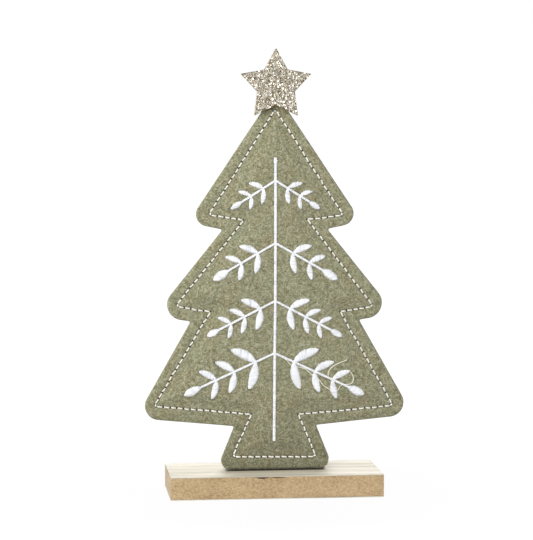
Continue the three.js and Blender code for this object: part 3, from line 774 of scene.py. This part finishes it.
def triangles_within(ring, others=(), loops=()):
    """Triangles over a closed ring, through the other points and along the closed loops inside it.
    Gives the places, the triangles, and where the ring's and the loops' own points went."""
    sizes = [len(ring), *(len(loop) for loop in loops)]
    firsts = np.cumsum([0, *sizes])
    edges = [
        (first + k, first + (k + 1) % size)
        for first, size in zip(firsts, sizes) for k in range(size)
    ]
    given = np.concatenate([ring, *loops, np.reshape(others, (-1, 2))]) / MM
    made = geometry.delaunay_2d_cdt([Vector(p) for p in given], edges, [], 0, SAME_PLACE, True)
    places = np.array([tuple(p) for p in made[0]]) * MM
    found = {origin: k for k, origins in enumerate(made[3]) for origin in origins}
    triangles = np.array(made[2])
    triangles = triangles[distance_inside(places[triangles].mean(axis=1), ring) > 0]
    return places, triangles.tolist(), [found[k] for k in range(firsts[-1])]


def spots_within(corners, cell, margin):
    """Evenly staggered points that lie at least a margin inside an outline"""
    low, high = corners.min(axis=0), corners.max(axis=0)
    spots = []
    for k, z in enumerate(np.arange(low[1], high[1], cell * math.sqrt(3) / 2)):
        spots += [(x, z) for x in np.arange(low[0] + (k % 2) * cell / 2, high[0], cell)]
    spots = np.array(spots)
    return spots[distance_inside(spots, corners) > margin]


def filling_sheet(name, node, inset, wave):
    """A soft sheet cut to the seam's outline, as thick as its node, with a slightly uneven face"""
    ring = evened(moved_sides(seam_corners, [inset] * len(seam_corners)), SHEET_CELL)
    places, triangles, rim = triangles_within(ring, spots_within(ring, SHEET_CELL, SHEET_CELL / 2))
    low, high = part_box(node)
    waves = np.array([noise.noise(Vector((x, 0, z)) / WAVE_LENGTH) for x, z in places]) * wave
    front = np.column_stack([places[:, 0], low.y + np.abs(waves), places[:, 1]])
    back = np.column_stack([places[:, 0], np.full(len(places), high.y), places[:, 1]])
    first = len(places)
    walls = [(a, b, b + first, a + first) for a, b in zip(rim, rim[1:] + rim[:1])]
    faces = triangles + [[k + first for k in face[::-1]] for face in triangles] + walls
    piece = add_piece(name, np.concatenate([front, back]), faces, white_fleece)
    stand_for(piece, node)


white_fleece = fleece_material()
filling_sheet("wadding_in_front", "front_wadding", FILLING_INSET, WADDING_WAVE)
filling_sheet("wadding_behind", "back_wadding", FILLING_INSET, WADDING_WAVE)
filling_sheet("tear_away_sheet", "embroidery_backing", BACKING_INSET, 0)


# Embroidery: bright white thread laid side by side over a padded underlay, stitch by stitch,
# in a trunk line and four pairs of sprigs. Each strand goes down into the felt at both ends.
TRUNK_LINE_WIDTH = 1.85 * MM
BRANCH_WIDTH = 1.52 * MM
TIE_OFF_DROP, TIE_OFF_LENGTH, TIE_OFF_WIDTH_SHARE = 4.4 * MM, 3.4 * MM, 0.78
SATIN_HEIGHT = 0.9 * MM
LONGEST_BRANCH = 53.8 * MM
TRUNK_LINE_TOP_SHARE, TRUNK_LINE_FOOT_SHARE = 0.827, 0.077
NODE_SHARES = [0.766, 0.6015, 0.4485, 0.31]
BRANCH_SHARES = [0.489, 0.664, 0.771, 1]
JOINT_SHARES = [(0.36, 0.72), (0.375, 0.73), (0.265, 0.545, 0.79), (0.26, 0.545, 0.79)]
LEAF_LENGTH_SHARES = [(0.39, 0.34), (0.37, 0.32), (0.34, 0.27, 0.235), (0.34, 0.265, 0.24)]
TIP_LEAF_SHARES = [0.32, 0.335, 0.22, 0.225]
DROOP_DEGREES = {-1: [32, 30, 26.7, 24.2], 1: [32, 30, 27.9, 25.1]}
LEAN_SHARES = [0, 0, -0.0016, -0.0054]
FOOT_LEAN_SHARE = -0.0097
UPPER_LEAF_DEGREES, LOWER_LEAF_DEGREES, TIP_LEAF_DEGREES = 51, -52, -2
LEAF_WIDTH_SHARE, TIP_LEAF_WIDTH_SHARE, LEAF_BOW_SHARE = 0.325, 0.45, 0.06
LEAF_STEP = 0.04
LEAF_SHARES = [(0, 0.24), (0.2, 0.72), (0.45, 1), (0.7, 0.9), (0.89, 0.57), (1, 0.18)]
STRAND_PITCH = 0.36 * MM
STRAND_HALF_WIDTH = 0.205 * MM
STRAND_HALF_HEIGHT = 0.1 * MM
STRAND_STEPS, STRAND_SIDES = 9, 6
STRAND_SUNK = 0.4 * MM
STRAND_SPREAD, SPREAD_STRAY, RISE_STRAY = 1.1, 0.06, 0.03 * MM
STRAND_TINTS = (0.25, 1)
FULL_HALF_WIDTH, LOWEST_ARCH = 0.8 * MM, 0.45
UNDERLAY_SHARE, UNDERLAY_SIDES = 0.8, 8
LEAF_SLANT, LINE_SLANT = 0.35, 0.18
LINE_STATIONS = 24
CREASE_SHARE, CREASE_WIDTH = 0.1, 0.5
SATIN_DARK, SATIN_LIGHT = "ccd2e8", "fcfdff"
SATIN_FIBRE_SCALE, SATIN_RELIEF = 5200, 0.02 * MM
front_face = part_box("felt_front_panel")[0].y
line_top, line_foot = on_tree([(0, TRUNK_LINE_TOP_SHARE), (FOOT_LEAN_SHARE, TRUNK_LINE_FOOT_SHARE)])
line_nodes = on_tree(zip(LEAN_SHARES, NODE_SHARES))
stitch_random = np.random.default_rng(24)


def felt_front(points):
    """Where the swelled front felt lies, as a place along y, under each point of the embroidery"""
    flat = points.reshape(-1, 2)
    swelled = -FELT + (front_face + FELT) * fullness(distance_inside(flat, seam_corners))
    return swelled.reshape(points.shape[:-1])


def even_column(points, width):
    """The middle line and half widths of a plain line of satin stitch through some points"""
    points = np.array(points)
    share = np.linspace(0, 1, LINE_STATIONS)
    along = lengths_along(points) / lengths_along(points)[-1]
    line = np.column_stack([np.interp(share, along, points[:, k]) for k in range(2)])
    return line, np.full(LINE_STATIONS, width / 2)


def leaf_column(base, direction, length, width_share, bow):
    """The middle line and half widths of a leaf"""
    shape = curve_through(LEAF_SHARES, LEAF_STEP)
    along = shape[:, :1]
    across = np.array([-direction[1], direction[0]])
    line = base + direction * along * length + across * bow * length * np.sin(along * math.pi)
    return line, shape[:, 1] * width_share * length / 2


def sprig_columns(tier, side):
    """Every column of one sprig: the branch, its pairs of leaves and the leaf at its tip"""
    length = BRANCH_SHARES[tier] * LONGEST_BRANCH
    root = line_nodes[tier]

    def aim(degrees):
        angle = math.radians(degrees - DROOP_DEGREES[side][tier])
        return np.array([side * math.cos(angle), math.sin(angle)])

    outward = aim(0)
    ends = [root + outward * TRUNK_LINE_WIDTH / 4, root + outward * length]
    columns = [even_column(ends, BRANCH_WIDTH)]
    bow = side * LEAF_BOW_SHARE
    pair = [(UPPER_LEAF_DEGREES, bow), (LOWER_LEAF_DEGREES, -bow)]
    for joint, leaf in zip(JOINT_SHARES[tier], LEAF_LENGTH_SHARES[tier]):
        base = root + outward * joint * length
        for degrees, bent in pair:
            columns.append(leaf_column(base, aim(degrees), leaf * length, LEAF_WIDTH_SHARE, bent))
    tip_length = TIP_LEAF_SHARES[tier] * length
    tip_aim = aim(TIP_LEAF_DEGREES)
    tip = leaf_column(root + outward * length, tip_aim, tip_length, TIP_LEAF_WIDTH_SHARE, 0)
    return [*columns, tip]


def column_frame(line):
    """The ways along and across a column at each of its points"""
    forward = unit(np.gradient(line, axis=0))
    return forward, np.column_stack([-forward[:, 1], forward[:, 0]])


def underlay(line, half_width):
    """The padding stitches under a column, as one low rounded form"""
    forward, across = column_frame(line)
    angle = np.linspace(0, 2 * math.pi, UNDERLAY_SIDES, endpoint=False)
    reach = UNDERLAY_SHARE * half_width[:, None] * np.cos(angle)
    rise = UNDERLAY_SHARE * SATIN_HEIGHT * np.clip(np.sin(angle), -0.5, 1)
    flat = line[:, None] + across[:, None] * reach[..., None]
    return np.stack([flat[..., 0], felt_front(flat) - rise, flat[..., 1]], axis=-1)


def strands(line, half_width, slant):
    """The threads of a column, each arched across it from edge to edge"""
    forward, across = column_frame(line)
    along = lengths_along(line)
    count = max(3, round(along[-1] / STRAND_PITCH))
    steps = 1 + CREASE_WIDTH * (stitch_random.random(count) < CREASE_SHARE)
    at = (np.cumsum(steps) - 0.5) * along[-1] / steps.sum()
    share = np.linspace(-1, 1, STRAND_STEPS)
    lean = slant * np.interp(at, along, half_width)[:, None] * share
    where = np.clip(at[:, None] + lean, 0, along[-1])

    def along_line(values):
        return np.stack([np.interp(where, along, values[:, k]) for k in range(2)], axis=-1)

    spread = STRAND_SPREAD + SPREAD_STRAY * stitch_random.standard_normal((count, 1))
    width = np.interp(where, along, half_width) * spread
    place = along_line(line) + along_line(across) * (share * width)[..., None]
    arch = SATIN_HEIGHT * (1 - np.abs(share) ** 4) - STRAND_SUNK * np.abs(share) ** 12
    full = np.clip(np.interp(at, along, half_width)[:, None] / FULL_HALF_WIDTH, LOWEST_ARCH, 1)
    rise = arch * full + RISE_STRAY * stitch_random.standard_normal((count, 1))
    angle = np.linspace(0, 2 * math.pi, STRAND_SIDES, endpoint=False)
    wide = along_line(forward)[:, :, None] * (STRAND_HALF_WIDTH * np.cos(angle))[:, None]
    flat = place[:, :, None] + wide
    depth = (felt_front(place) - rise)[..., None] - STRAND_HALF_HEIGHT * np.sin(angle)
    return list(np.stack([flat[..., 0], depth, flat[..., 1]], axis=-1))


def satin_material():
    """Rayon thread: bright, with a silky gloss; the padding under the strands takes the darkest,
    faintly blue tint as painted shade in the creases
    """
    values = {"Roughness": 0.42, "Sheen Weight": 0.3, "Sheen Roughness": 0.4}
    material, tree, surface = surface_material("satin_thread", values)
    tint = place_node(tree, "Attribute", attribute_name="strand_tint").outputs["Fac"]
    colour = ramp(tree, tint, (0, SATIN_DARK), (0.5, SATIN_LIGHT))
    thread = use_group(tree, spun_thread, Fibre_Scale=SATIN_FIBRE_SCALE)
    drive(tree, surface, colour, height=thread["Height"], depth=SATIN_RELIEF)
    return material


satin_thread = satin_material()


def mark_points(piece, name, values):
    """Gives each point of a mesh a value that the material reads by name"""
    piece.data.attributes.new(name, "FLOAT", "POINT").data.foreach_set("value", values)


def embroider(name, columns, slants):
    """One embroidered piece: each column's padding and strands, each strand with its own shine"""
    forms, tints = [], []
    for (line, half_width), slant in zip(columns, slants):
        padding = underlay(line, half_width)
        laid = strands(line, half_width, slant)
        forms += [padding, *laid]
        shine = stitch_random.uniform(*STRAND_TINTS, len(laid))
        # The padding takes tint 0, the darkest and bluest: painted shade in the creases between
        # strands
        tints += [np.zeros(padding[..., 0].size), np.repeat(shine, STRAND_STEPS * STRAND_SIDES)]
    piece = add_piece(name.replace("embroidered", "satin"), *skin_all(forms), satin_thread)
    mark_points(piece, "strand_tint", np.concatenate(tints))
    stand_for(piece, name)


trunk_line = even_column([line_top, *line_nodes, line_foot], TRUNK_LINE_WIDTH)
tie_off_foot, upward = line_top - [0, TIE_OFF_DROP], np.array([0, 1])
tie_off = leaf_column(tie_off_foot, upward, TIE_OFF_LENGTH, TIE_OFF_WIDTH_SHARE, 0)
embroider("embroidered_trunk_line", [trunk_line, tie_off], [LINE_SLANT, LEAF_SLANT])
embroidery = [trunk_line]
for tier in range(len(NODE_SHARES)):
    for side_name, side in (("left", -1), ("right", 1)):
        columns = sprig_columns(tier, side)
        slants = [LINE_SLANT] + [LEAF_SLANT * side] * (len(columns) - 1)
        embroider(f"embroidered_sprig_{tier + 1}_{side_name}", columns, slants)
        embroidery += columns


# Felt panels: thick pressed wool felt, front and back, cut to the same outline. The seam pulls
# them together in a channel, the filling puffs them up inside it, and the edge is a clean cut.
CHANNEL_DEPTH = 0.75 * MM
POCKET_START, POCKET_END = 1.5 * MM, 4.5 * MM
EDGE_ROLL, ROLL_WIDTH = 0.55 * MM, 3.4 * MM
STITCH_PITCH = 4.5 * MM
POINT_CUT = 1.4 * MM
HOLE_STRAY = 0.16 * MM
HOLE_DEPTH, HOLE_RADIUS, HOLE_REACH = 1.0 * MM, 0.72 * MM, 3 * MM
HOLE_RINGS = [(0, 1), (0.3 * MM, 6), (0.6 * MM, 10), (0.9 * MM, 12)]
HOLE_CLEARANCE = 1.05 * MM
SEAM_LANES = [lane * MM for lane in (-1.5, -1.1, -0.75, -0.4, 0, 0.4, 0.75, 1.1, 1.5)]
LANE_STEP, LANE_CLEARANCE = 0.75 * MM, 0.4 * MM
FELT_CELL, OUTLINE_CLEARANCE, EDGE_CLEARANCE = 0.9 * MM, 0.63 * MM, 0.54 * MM
PRESSED_DEPTH, PRESSED_REACH = 0.28 * MM, 1.0 * MM
EDGE_INSET = 1.0 * MM
EDGE_PROFILE = [  # millimetres in from the cut edge, and down from the face
    (0.62, 0.13), (0.3, 0.36), (0.08, 0.75), (0, 1.2),
    (0, 1.75), (0, 2.3), (0.08, 2.7), (0.32, 2.97),
]
EDGE_ROUGHNESS, EDGE_ROUGH_LENGTH = 0.06 * MM, 1.1 * MM
UNEVEN = [(24 * MM, 0.14 * MM), (7 * MM, 0.07 * MM), (1.9 * MM, 0.035 * MM)]
BACK_PANEL_SHIFT = 0.5 * MM
FELT_DARK, FELT_MID, FELT_LIGHT = "504d32", "8e8d6f", "c5c4ab"
FELT_BROWN, FELT_GREEN = "937d55", "899073"
LIGHT_SHARE, DARK_SHARE, FLECK_SHARE = 0.4, 0.4, 0.2
HUE_FLECK_SHARE, HUE_PATCH_SHARE, HUE_SHARE = 0.6, 0.4, 0.4
PAINTED_SHADE_COLOUR, WOOL_RELIEF = "1d1b10", 0.35 * MM
HOLE_SHADE, RIM_SHADE, RIM_WIDTH = 0.98, 0.2, 0.5 * MM
FOOT_SHADE, FOOT_SHADE_HEIGHT, FOOT_SHADE_RAMP = 0.98, 1.4 * MM, 2.2
BORDER_HEIGHTS, BORDER_SHADES = [4 * MM, 9 * MM, 48 * MM], [0.4, 0.26, 0]
LIP_DROP, LIP_FLARE, LIP_HEIGHT, LIP_THICKNESS = 0.33 * MM, 2.3 * MM, 8 * MM, 1.0 * MM
seam_random = np.random.default_rng(7)


def needle_holes():
    """Where the needle went through round the seam, a little unevenly, cutting across the points"""
    following = np.roll(seam_corners, -1, axis=0)
    along = unit(following - seam_corners)
    is_point = crossed(np.roll(along, 1, axis=0), along) < 0
    point_follows = np.roll(is_point, -1)
    starts = seam_corners + along * (is_point * POINT_CUT)[:, None]
    ends = following - along * (point_follows * POINT_CUT)[:, None]
    holes = []
    for start, end, cut in zip(starts, ends, point_follows):
        count = round(np.linalg.norm(end - start) / STITCH_PITCH)
        side = [start + (end - start) * k / count for k in range(count + cut)]
        holes += [hole + seam_random.normal(0, HOLE_STRAY, 2) for hole in side]
    return np.array(holes)


holes = needle_holes()


def distance_to(points, targets):
    """How far each point is from the nearest target"""
    nearest = np.full(len(points), np.inf)
    for target in targets:
        nearest = np.minimum(nearest, np.linalg.norm(points - target, axis=1))
    return nearest


def distance_to_embroidery(points):
    """How far each point is from the edge of the stitching; below zero under it"""
    nearest = np.full(len(points), np.inf)
    for line, half_width in embroidery:
        start, run = line[0], line[-1] - line[0]
        share = np.clip((points - start) @ run / (run @ run), 0, 1)
        places = np.linspace(0, 1, len(line))
        centre = np.column_stack([np.interp(share, places, line[:, k]) for k in range(2)])
        reach = np.linalg.norm(points - centre, axis=1) - np.interp(share, places, half_width)
        nearest = np.minimum(nearest, reach)
    return nearest


def foot_shade(height):
    """How much painted shade the felt takes low down: a dark line along the foot and a darkening
    that fades out higher up the trunk
    """
    above = height - foot_height
    border = np.interp(above, BORDER_HEIGHTS, BORDER_SHADES)
    lowest = np.clip(FOOT_SHADE_RAMP - FOOT_SHADE_RAMP * above / FOOT_SHADE_HEIGHT, 0, 1)
    return np.maximum(border, FOOT_SHADE * lowest)


def foot_lip(height):
    """How far the felt's outer face spreads where it presses on the base, from 0 to 1"""
    return eased(1 - (height - foot_height) / LIP_HEIGHT)


def felt_shade(points, embroidered):
    """How much painted shade the felt's outer face takes: dark needle holes, a dark rim beside the
    stitching and the painted shade at the foot
    """
    shade = HOLE_SHADE * np.exp(-(distance_to(points, holes) / HOLE_RADIUS) ** 4)
    shade = np.maximum(shade, foot_shade(points[:, 1]))
    if embroidered:
        rim = np.clip(distance_to_embroidery(points) / RIM_WIDTH, 0, None)
        shade = np.maximum(shade, RIM_SHADE * np.exp(-rim ** 2))
    return shade


def felt_height(points, pocket, embroidered):
    """The felt's outer face above the plane where the two panels meet"""
    depth = distance_inside(points, seam_corners)
    edge = distance_inside(points, tree_corners)
    height = FELT + pocket * fullness(depth)
    height -= EDGE_ROLL * np.clip(1 - edge / ROLL_WIDTH, 0, 1) ** 2
    height -= eased(1 - np.abs(depth) / CHANNEL_REACH, CHANNEL_DEPTH)
    beside = np.abs(depth) < HOLE_REACH
    far = distance_to(points[beside], holes)
    height[beside] -= HOLE_DEPTH * np.exp(-(far / HOLE_RADIUS) ** 2)
    if embroidered:
        height -= eased(1 - distance_to_embroidery(points) / PRESSED_REACH, PRESSED_DEPTH)
    for wave, swing in UNEVEN:
        height += swing * np.array([noise.noise(Vector((x, 0, z)) / wave) for x, z in points])
    return height


def felt_spots():
    """Points over the felt: rings round each needle hole, lanes beside the seam, an even field"""
    around_holes = [
        hole + radius * np.array([math.cos(angle), math.sin(angle)])
        for hole in holes for radius, count in HOLE_RINGS
        for angle in np.linspace(0, 2 * math.pi, count, endpoint=False)
    ]
    lanes = []
    for lane in SEAM_LANES:
        ring = evened(moved_sides(seam_corners, [lane] * len(seam_corners)), LANE_STEP)
        lanes.append(ring[distance_to(ring, holes) > HOLE_CLEARANCE])
    field = spots_within(tree_corners, FELT_CELL, EDGE_INSET + OUTLINE_CLEARANCE)
    beside_lanes = SEAM_LANES[-1] + LANE_CLEARANCE
    field = field[np.abs(distance_inside(field, seam_corners)) > beside_lanes]
    rounded_edge = outline + outline_inward * EDGE_INSET
    field = field[distance_inside(field, rounded_edge) > EDGE_CLEARANCE]
    return np.concatenate([np.array(around_holes), *lanes, field])


def felt_panel(name, side, pocket, embroidered, material):
    """One panel as a closed form: outer face, cut edge and the hollowed face inside"""
    rim_ring = outline + outline_inward * EDGE_INSET
    places, triangles, rim = triangles_within(rim_ring, felt_spots())
    height = felt_height(places, pocket, embroidered)
    lip = foot_lip(places[:, 1])
    height += LIP_FLARE * lip
    points = [np.column_stack([places[:, 0], side * height, places[:, 1] - LIP_DROP * lip])]
    faces, first, above = list(triangles), len(places), rim
    rim_height = height[rim]
    for inset, drop in np.array(EDGE_PROFILE) * MM:
        places_on_edge = [Vector((x, drop, z)) / EDGE_ROUGH_LENGTH for x, z in outline]
        rough = EDGE_ROUGHNESS * (1 + np.array([noise.noise(place) for place in places_on_edge]))
        ring = outline + outline_inward * (inset + rough)[:, None]
        sagged = LIP_DROP * foot_lip(ring[:, 1]) * max(0, 1 - drop / LIP_THICKNESS)
        across = side * rim_height * (1 - drop / FELT)
        points.append(np.column_stack([ring[:, 0], across, ring[:, 1] - sagged]))
        below = list(range(first, first + len(ring)))
        faces += list(zip(above, above[1:] + above[:1], below[1:] + below[:1], below))
        above, first = below, first + len(ring)
    last_ring = points[-1][:, [0, 2]]
    loops = [
        evened(moved_sides(seam_corners, [inset] * len(seam_corners)), SHEET_CELL)
        for inset in (POCKET_START, POCKET_END)
    ]
    inner, inner_faces, inner_rim = triangles_within(last_ring, (), loops)
    past_start = distance_inside(inner, seam_corners) - POCKET_START
    hollowed = np.clip(past_start / (POCKET_END - POCKET_START), 0, 1)
    points.append(np.column_stack([inner[:, 0], side * hollowed * pocket, inner[:, 1]]))
    on_rim = dict(zip(inner_rim[:len(last_ring)], above))
    index = [on_rim.get(k, first + k) for k in range(len(inner))]
    faces += [[index[k] for k in face[::-1]] for face in inner_faces]
    points = np.concatenate(points)
    used = np.unique(np.concatenate([np.ravel(face) for face in faces]))
    renumber = {old: new for new, old in enumerate(used)}
    faces = [[renumber[k] for k in face] for face in faces]
    # Painted shade, kept as a point attribute: dark needle holes, a dark rim beside the stitching,
    # and a dark line and darkening at the foot
    shade = foot_shade(points[:, 2])
    shade[:len(places)] = felt_shade(places, embroidered)
    panel = add_piece(name, points[used], faces, material)
    mark_points(panel, "painted_shade", shade[used])
    return panel


def wool_felt_material():
    """Sage wool felt: light and dark fibres, green and brown patches, and painted shade from a
    point attribute
    """
    values = {"Roughness": 1.0, "Specular IOR Level": 0.15}
    values |= {"Sheen Weight": 0.25, "Sheen Roughness": 0.6}
    material, tree, surface = surface_material("wool_felt", values)
    fibres = use_group(tree, pressed_fibres)
    mixed = sum_up(tree, "MULTIPLY", fibres["Light"], LIGHT_SHARE)
    mixed = sum_up(tree, "MULTIPLY_ADD", fibres["Dark"], DARK_SHARE, mixed)
    mixed = sum_up(tree, "MULTIPLY_ADD", fibres["Flecks"], FLECK_SHARE, mixed)
    wool = ramp(tree, mixed, (0.41, FELT_DARK), (0.5, FELT_MID), (0.59, FELT_LIGHT))
    hue = sum_up(tree, "MULTIPLY", fibres["Flecks"], HUE_FLECK_SHARE)
    hue = sum_up(tree, "MULTIPLY_ADD", fibres["Patches"], HUE_PATCH_SHARE, hue)
    tint = ramp(tree, hue, (0.38, FELT_GREEN), (0.5, FELT_MID), (0.62, FELT_BROWN))
    colour = blend_colours(tree, HUE_SHARE, wool, tint)
    painted_shade = place_node(tree, "Attribute", attribute_name="painted_shade").outputs["Fac"]
    # Painted shade: the felt's colour darkens towards near-black wherever the attribute says
    shaded = blend_colours(tree, painted_shade, colour, PAINTED_SHADE_COLOUR)
    drive(tree, surface, shaded, height=fibres["Height"], depth=WOOL_RELIEF)
    return material


wool_felt = wool_felt_material()
front_pocket = -front_face - FELT
back_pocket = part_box("felt_back_panel")[1].y - FELT
front_felt = felt_panel("front_felt", -1, front_pocket, True, wool_felt)
stand_for(front_felt, "felt_front_panel")
back_felt = felt_panel("back_felt", 1, back_pocket, False, wool_felt)
back_felt.data.transform(Matrix.Translation((BACK_PANEL_SHIFT, 0, 0)))
stand_for(back_felt, "felt_back_panel")


# Seam threads: cream three-ply thread in a lockstitch, the needle thread in front and the bobbin
# thread behind. Each stitch rises from one needle hole, lies in the channel and goes down again.
SEAM_THREAD = 0.98 * MM
STITCH_STATIONS = [  # millimetres along from a hole, and out from the channel's floor
    (0.82, -1.9), (0.9, -1.2), (1.06, -0.35), (1.3, 0.05), (1.7, 0.15),
]
STITCH_CROWN = 0.24
STITCH_SLANT, STITCH_STEP = 0.16 * MM, 0.22 * MM
SEAM_DARK, SEAM_LIGHT = "e4dfcd", "fffef9"


def seam_thread(name, node, side):
    """One side's thread, a stitch from each needle hole to the next"""
    floor = FELT - CHANNEL_DEPTH + SEAM_THREAD / 2
    forms = []
    for start, end in zip(holes, np.roll(holes, -1, axis=0)):
        length = np.linalg.norm(end - start)
        full = min(1, length / STITCH_PITCH)
        rising = [(reach * full * MM / length, rise * full) for reach, rise in STITCH_STATIONS]
        falling = [(1 - share, rise) for share, rise in rising[::-1]]
        beside = unit(np.array([start[1] - end[1], end[0] - start[0]])) * STITCH_SLANT
        stations = []
        for share, rise in [*rising, (0.5, STITCH_CROWN * full), *falling]:
            x, z = start + (end - start) * share + beside * (1 - 2 * share)
            stations.append((x, side * (floor + rise * MM), z))
        path = curve_through(stations, STITCH_STEP)
        across = np.cross((end - start)[[0, 0, 1]] * (1, 0, 1), (0, 1, 0))
        across = np.broadcast_to(across, path.shape)
        turned = seam_random.uniform(0, 2 * math.pi)
        forms.append(thread_rings(path, across, SEAM_THREAD / 2, turned))
    stand_for(add_piece(name, *skin_all(forms), seam_cream), node)


seam_cream = thread_material(
    "seam_cream", SEAM_DARK, SEAM_LIGHT, {"Roughness": 0.7, "Sheen Weight": 0.2}
)
seam_thread("needle_thread", "seam_needle_thread", -1)
seam_thread("bobbin_thread", "seam_bobbin_thread", 1)


# Star: a five-pointed blank of firm foam, its front coated with coarse champagne glitter flakes
# in clear glue. It is glued over the tree's tip.
STAR_RADIUS, STAR_NOTCH_RADIUS = 24.3 * MM, 12.9 * MM
STAR_ARMS = 5
STAR_ABOVE_TIP = 3.9 * MM
FLAKE_COUNT = 3700
FLAKE_RADII = (0.4 * MM, 0.68 * MM)
FLAKE_THICKNESS = 0.05 * MM
FLAKE_SIDES = 6
FLAKE_TILT_DEGREES = 24
FLAKE_LAYERS = (0.2 * MM, 0.55 * MM)
FLAKE_INSET = 0.45 * MM
BED_LAYERS = [(0.05 * MM, 0), (0.05 * MM, 0.2 * MM), (0.3 * MM, 0.3 * MM)]  # inset and height
BED_TINT = 0.1
FLAKE_GLOSS_SCALE, FLAKE_RELIEF = 5000, 0.01 * MM
FOAM_CELL_SCALE, FOAM_RELIEF = 2400, 0.05 * MM
FOAM_DARK, FOAM_LIGHT = "a89c86", "cfc4ae"
FLAKE_TINTS = [(0, "675c47"), (0.2, "9b8e74"), (0.42, "c9bea7"), (0.68, "e6dfcf"), (0.9, "fcfaf3")]
star_random = np.random.default_rng(5)
star_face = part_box("star_blank")[0].y
star_middle = np.array([0, foot_height + TREE_HEIGHT + STAR_ABOVE_TIP])


def foam_material():
    """Firm, fine-celled foam in a dull champagne colour"""
    material, tree, surface = surface_material("firm_foam", {"Roughness": 0.8})
    cells = noise_field(tree, FOAM_CELL_SCALE)
    colour = ramp(tree, cells, (0.3, FOAM_DARK), (0.7, FOAM_LIGHT))
    drive(tree, surface, colour, height=cells, depth=FOAM_RELIEF)
    return material


def flake_material():
    """Champagne glitter, each flake with its own tint between dark bronze and near white"""
    values = {"Roughness": 0.32, "Metallic": 0.5}
    material, tree, surface = surface_material("glitter_flakes", values)
    tint = place_node(tree, "Attribute", attribute_name="flake_tint").outputs["Fac"]
    gloss = noise_field(tree, FLAKE_GLOSS_SCALE, detail=1)
    drive(tree, surface, ramp(tree, tint, *FLAKE_TINTS), height=gloss, depth=FLAKE_RELIEF)
    return material


def star_corners(inset):
    """The star's ten corners, each side moved in by an inset"""
    turn = math.pi / STAR_ARMS
    radii = [STAR_NOTCH_RADIUS if k % 2 else STAR_RADIUS for k in range(2 * STAR_ARMS)]
    corners = np.array([
        star_middle + radius * np.array([math.sin(k * turn), math.cos(k * turn)])
        for k, radius in enumerate(radii)
    ])
    return moved_sides(corners, [inset] * len(corners))


def flake_rings(place, radius, layer):
    """One flake, turned and tilted at random"""
    tilt = math.radians(FLAKE_TILT_DEGREES) * star_random.standard_normal(2)
    normal = unit(np.array([math.sin(tilt[0]), -1, math.sin(tilt[1])]))
    first = unit(np.cross(normal, star_random.standard_normal(3)))
    second = np.cross(normal, first)
    angle = np.linspace(0, 2 * math.pi, FLAKE_SIDES, endpoint=False)[:, None]
    disc = radius * (np.cos(angle) * first + np.sin(angle) * second)
    centre = np.array([place[0], star_face - layer, place[1]])
    return np.array([centre + disc, centre + disc + normal * FLAKE_THICKNESS])


def glitter_coat():
    """The bed of glue over the star's front and the flakes that lie in it"""
    corners = star_corners(FLAKE_INSET)
    low, high = corners.min(axis=0), corners.max(axis=0)
    places = star_random.uniform(low, high, (4 * FLAKE_COUNT, 2))
    places = places[distance_inside(places, corners) > 0][:FLAKE_COUNT]
    bed = np.array([
        [(x, star_face - height, z) for x, z in star_corners(inset)] for inset, height in BED_LAYERS
    ])
    flakes = [
        flake_rings(place, star_random.uniform(*FLAKE_RADII), star_random.uniform(*FLAKE_LAYERS))
        for place in places
    ]
    coat = add_piece("glitter_coat", *skin_all([bed, *flakes]), flake_material())
    tints = np.repeat(star_random.uniform(0, 1, len(flakes)), 2 * FLAKE_SIDES)
    bed_tints = np.full(bed[..., 0].size, BED_TINT)
    mark_points(coat, "flake_tint", np.concatenate([bed_tints, tints]))
    coat.data.polygons.foreach_set("use_smooth", [False] * len(coat.data.polygons))
    stand_for(coat, "star_glitter")


finish_node("star_blank", foam_material())
glitter_coat()
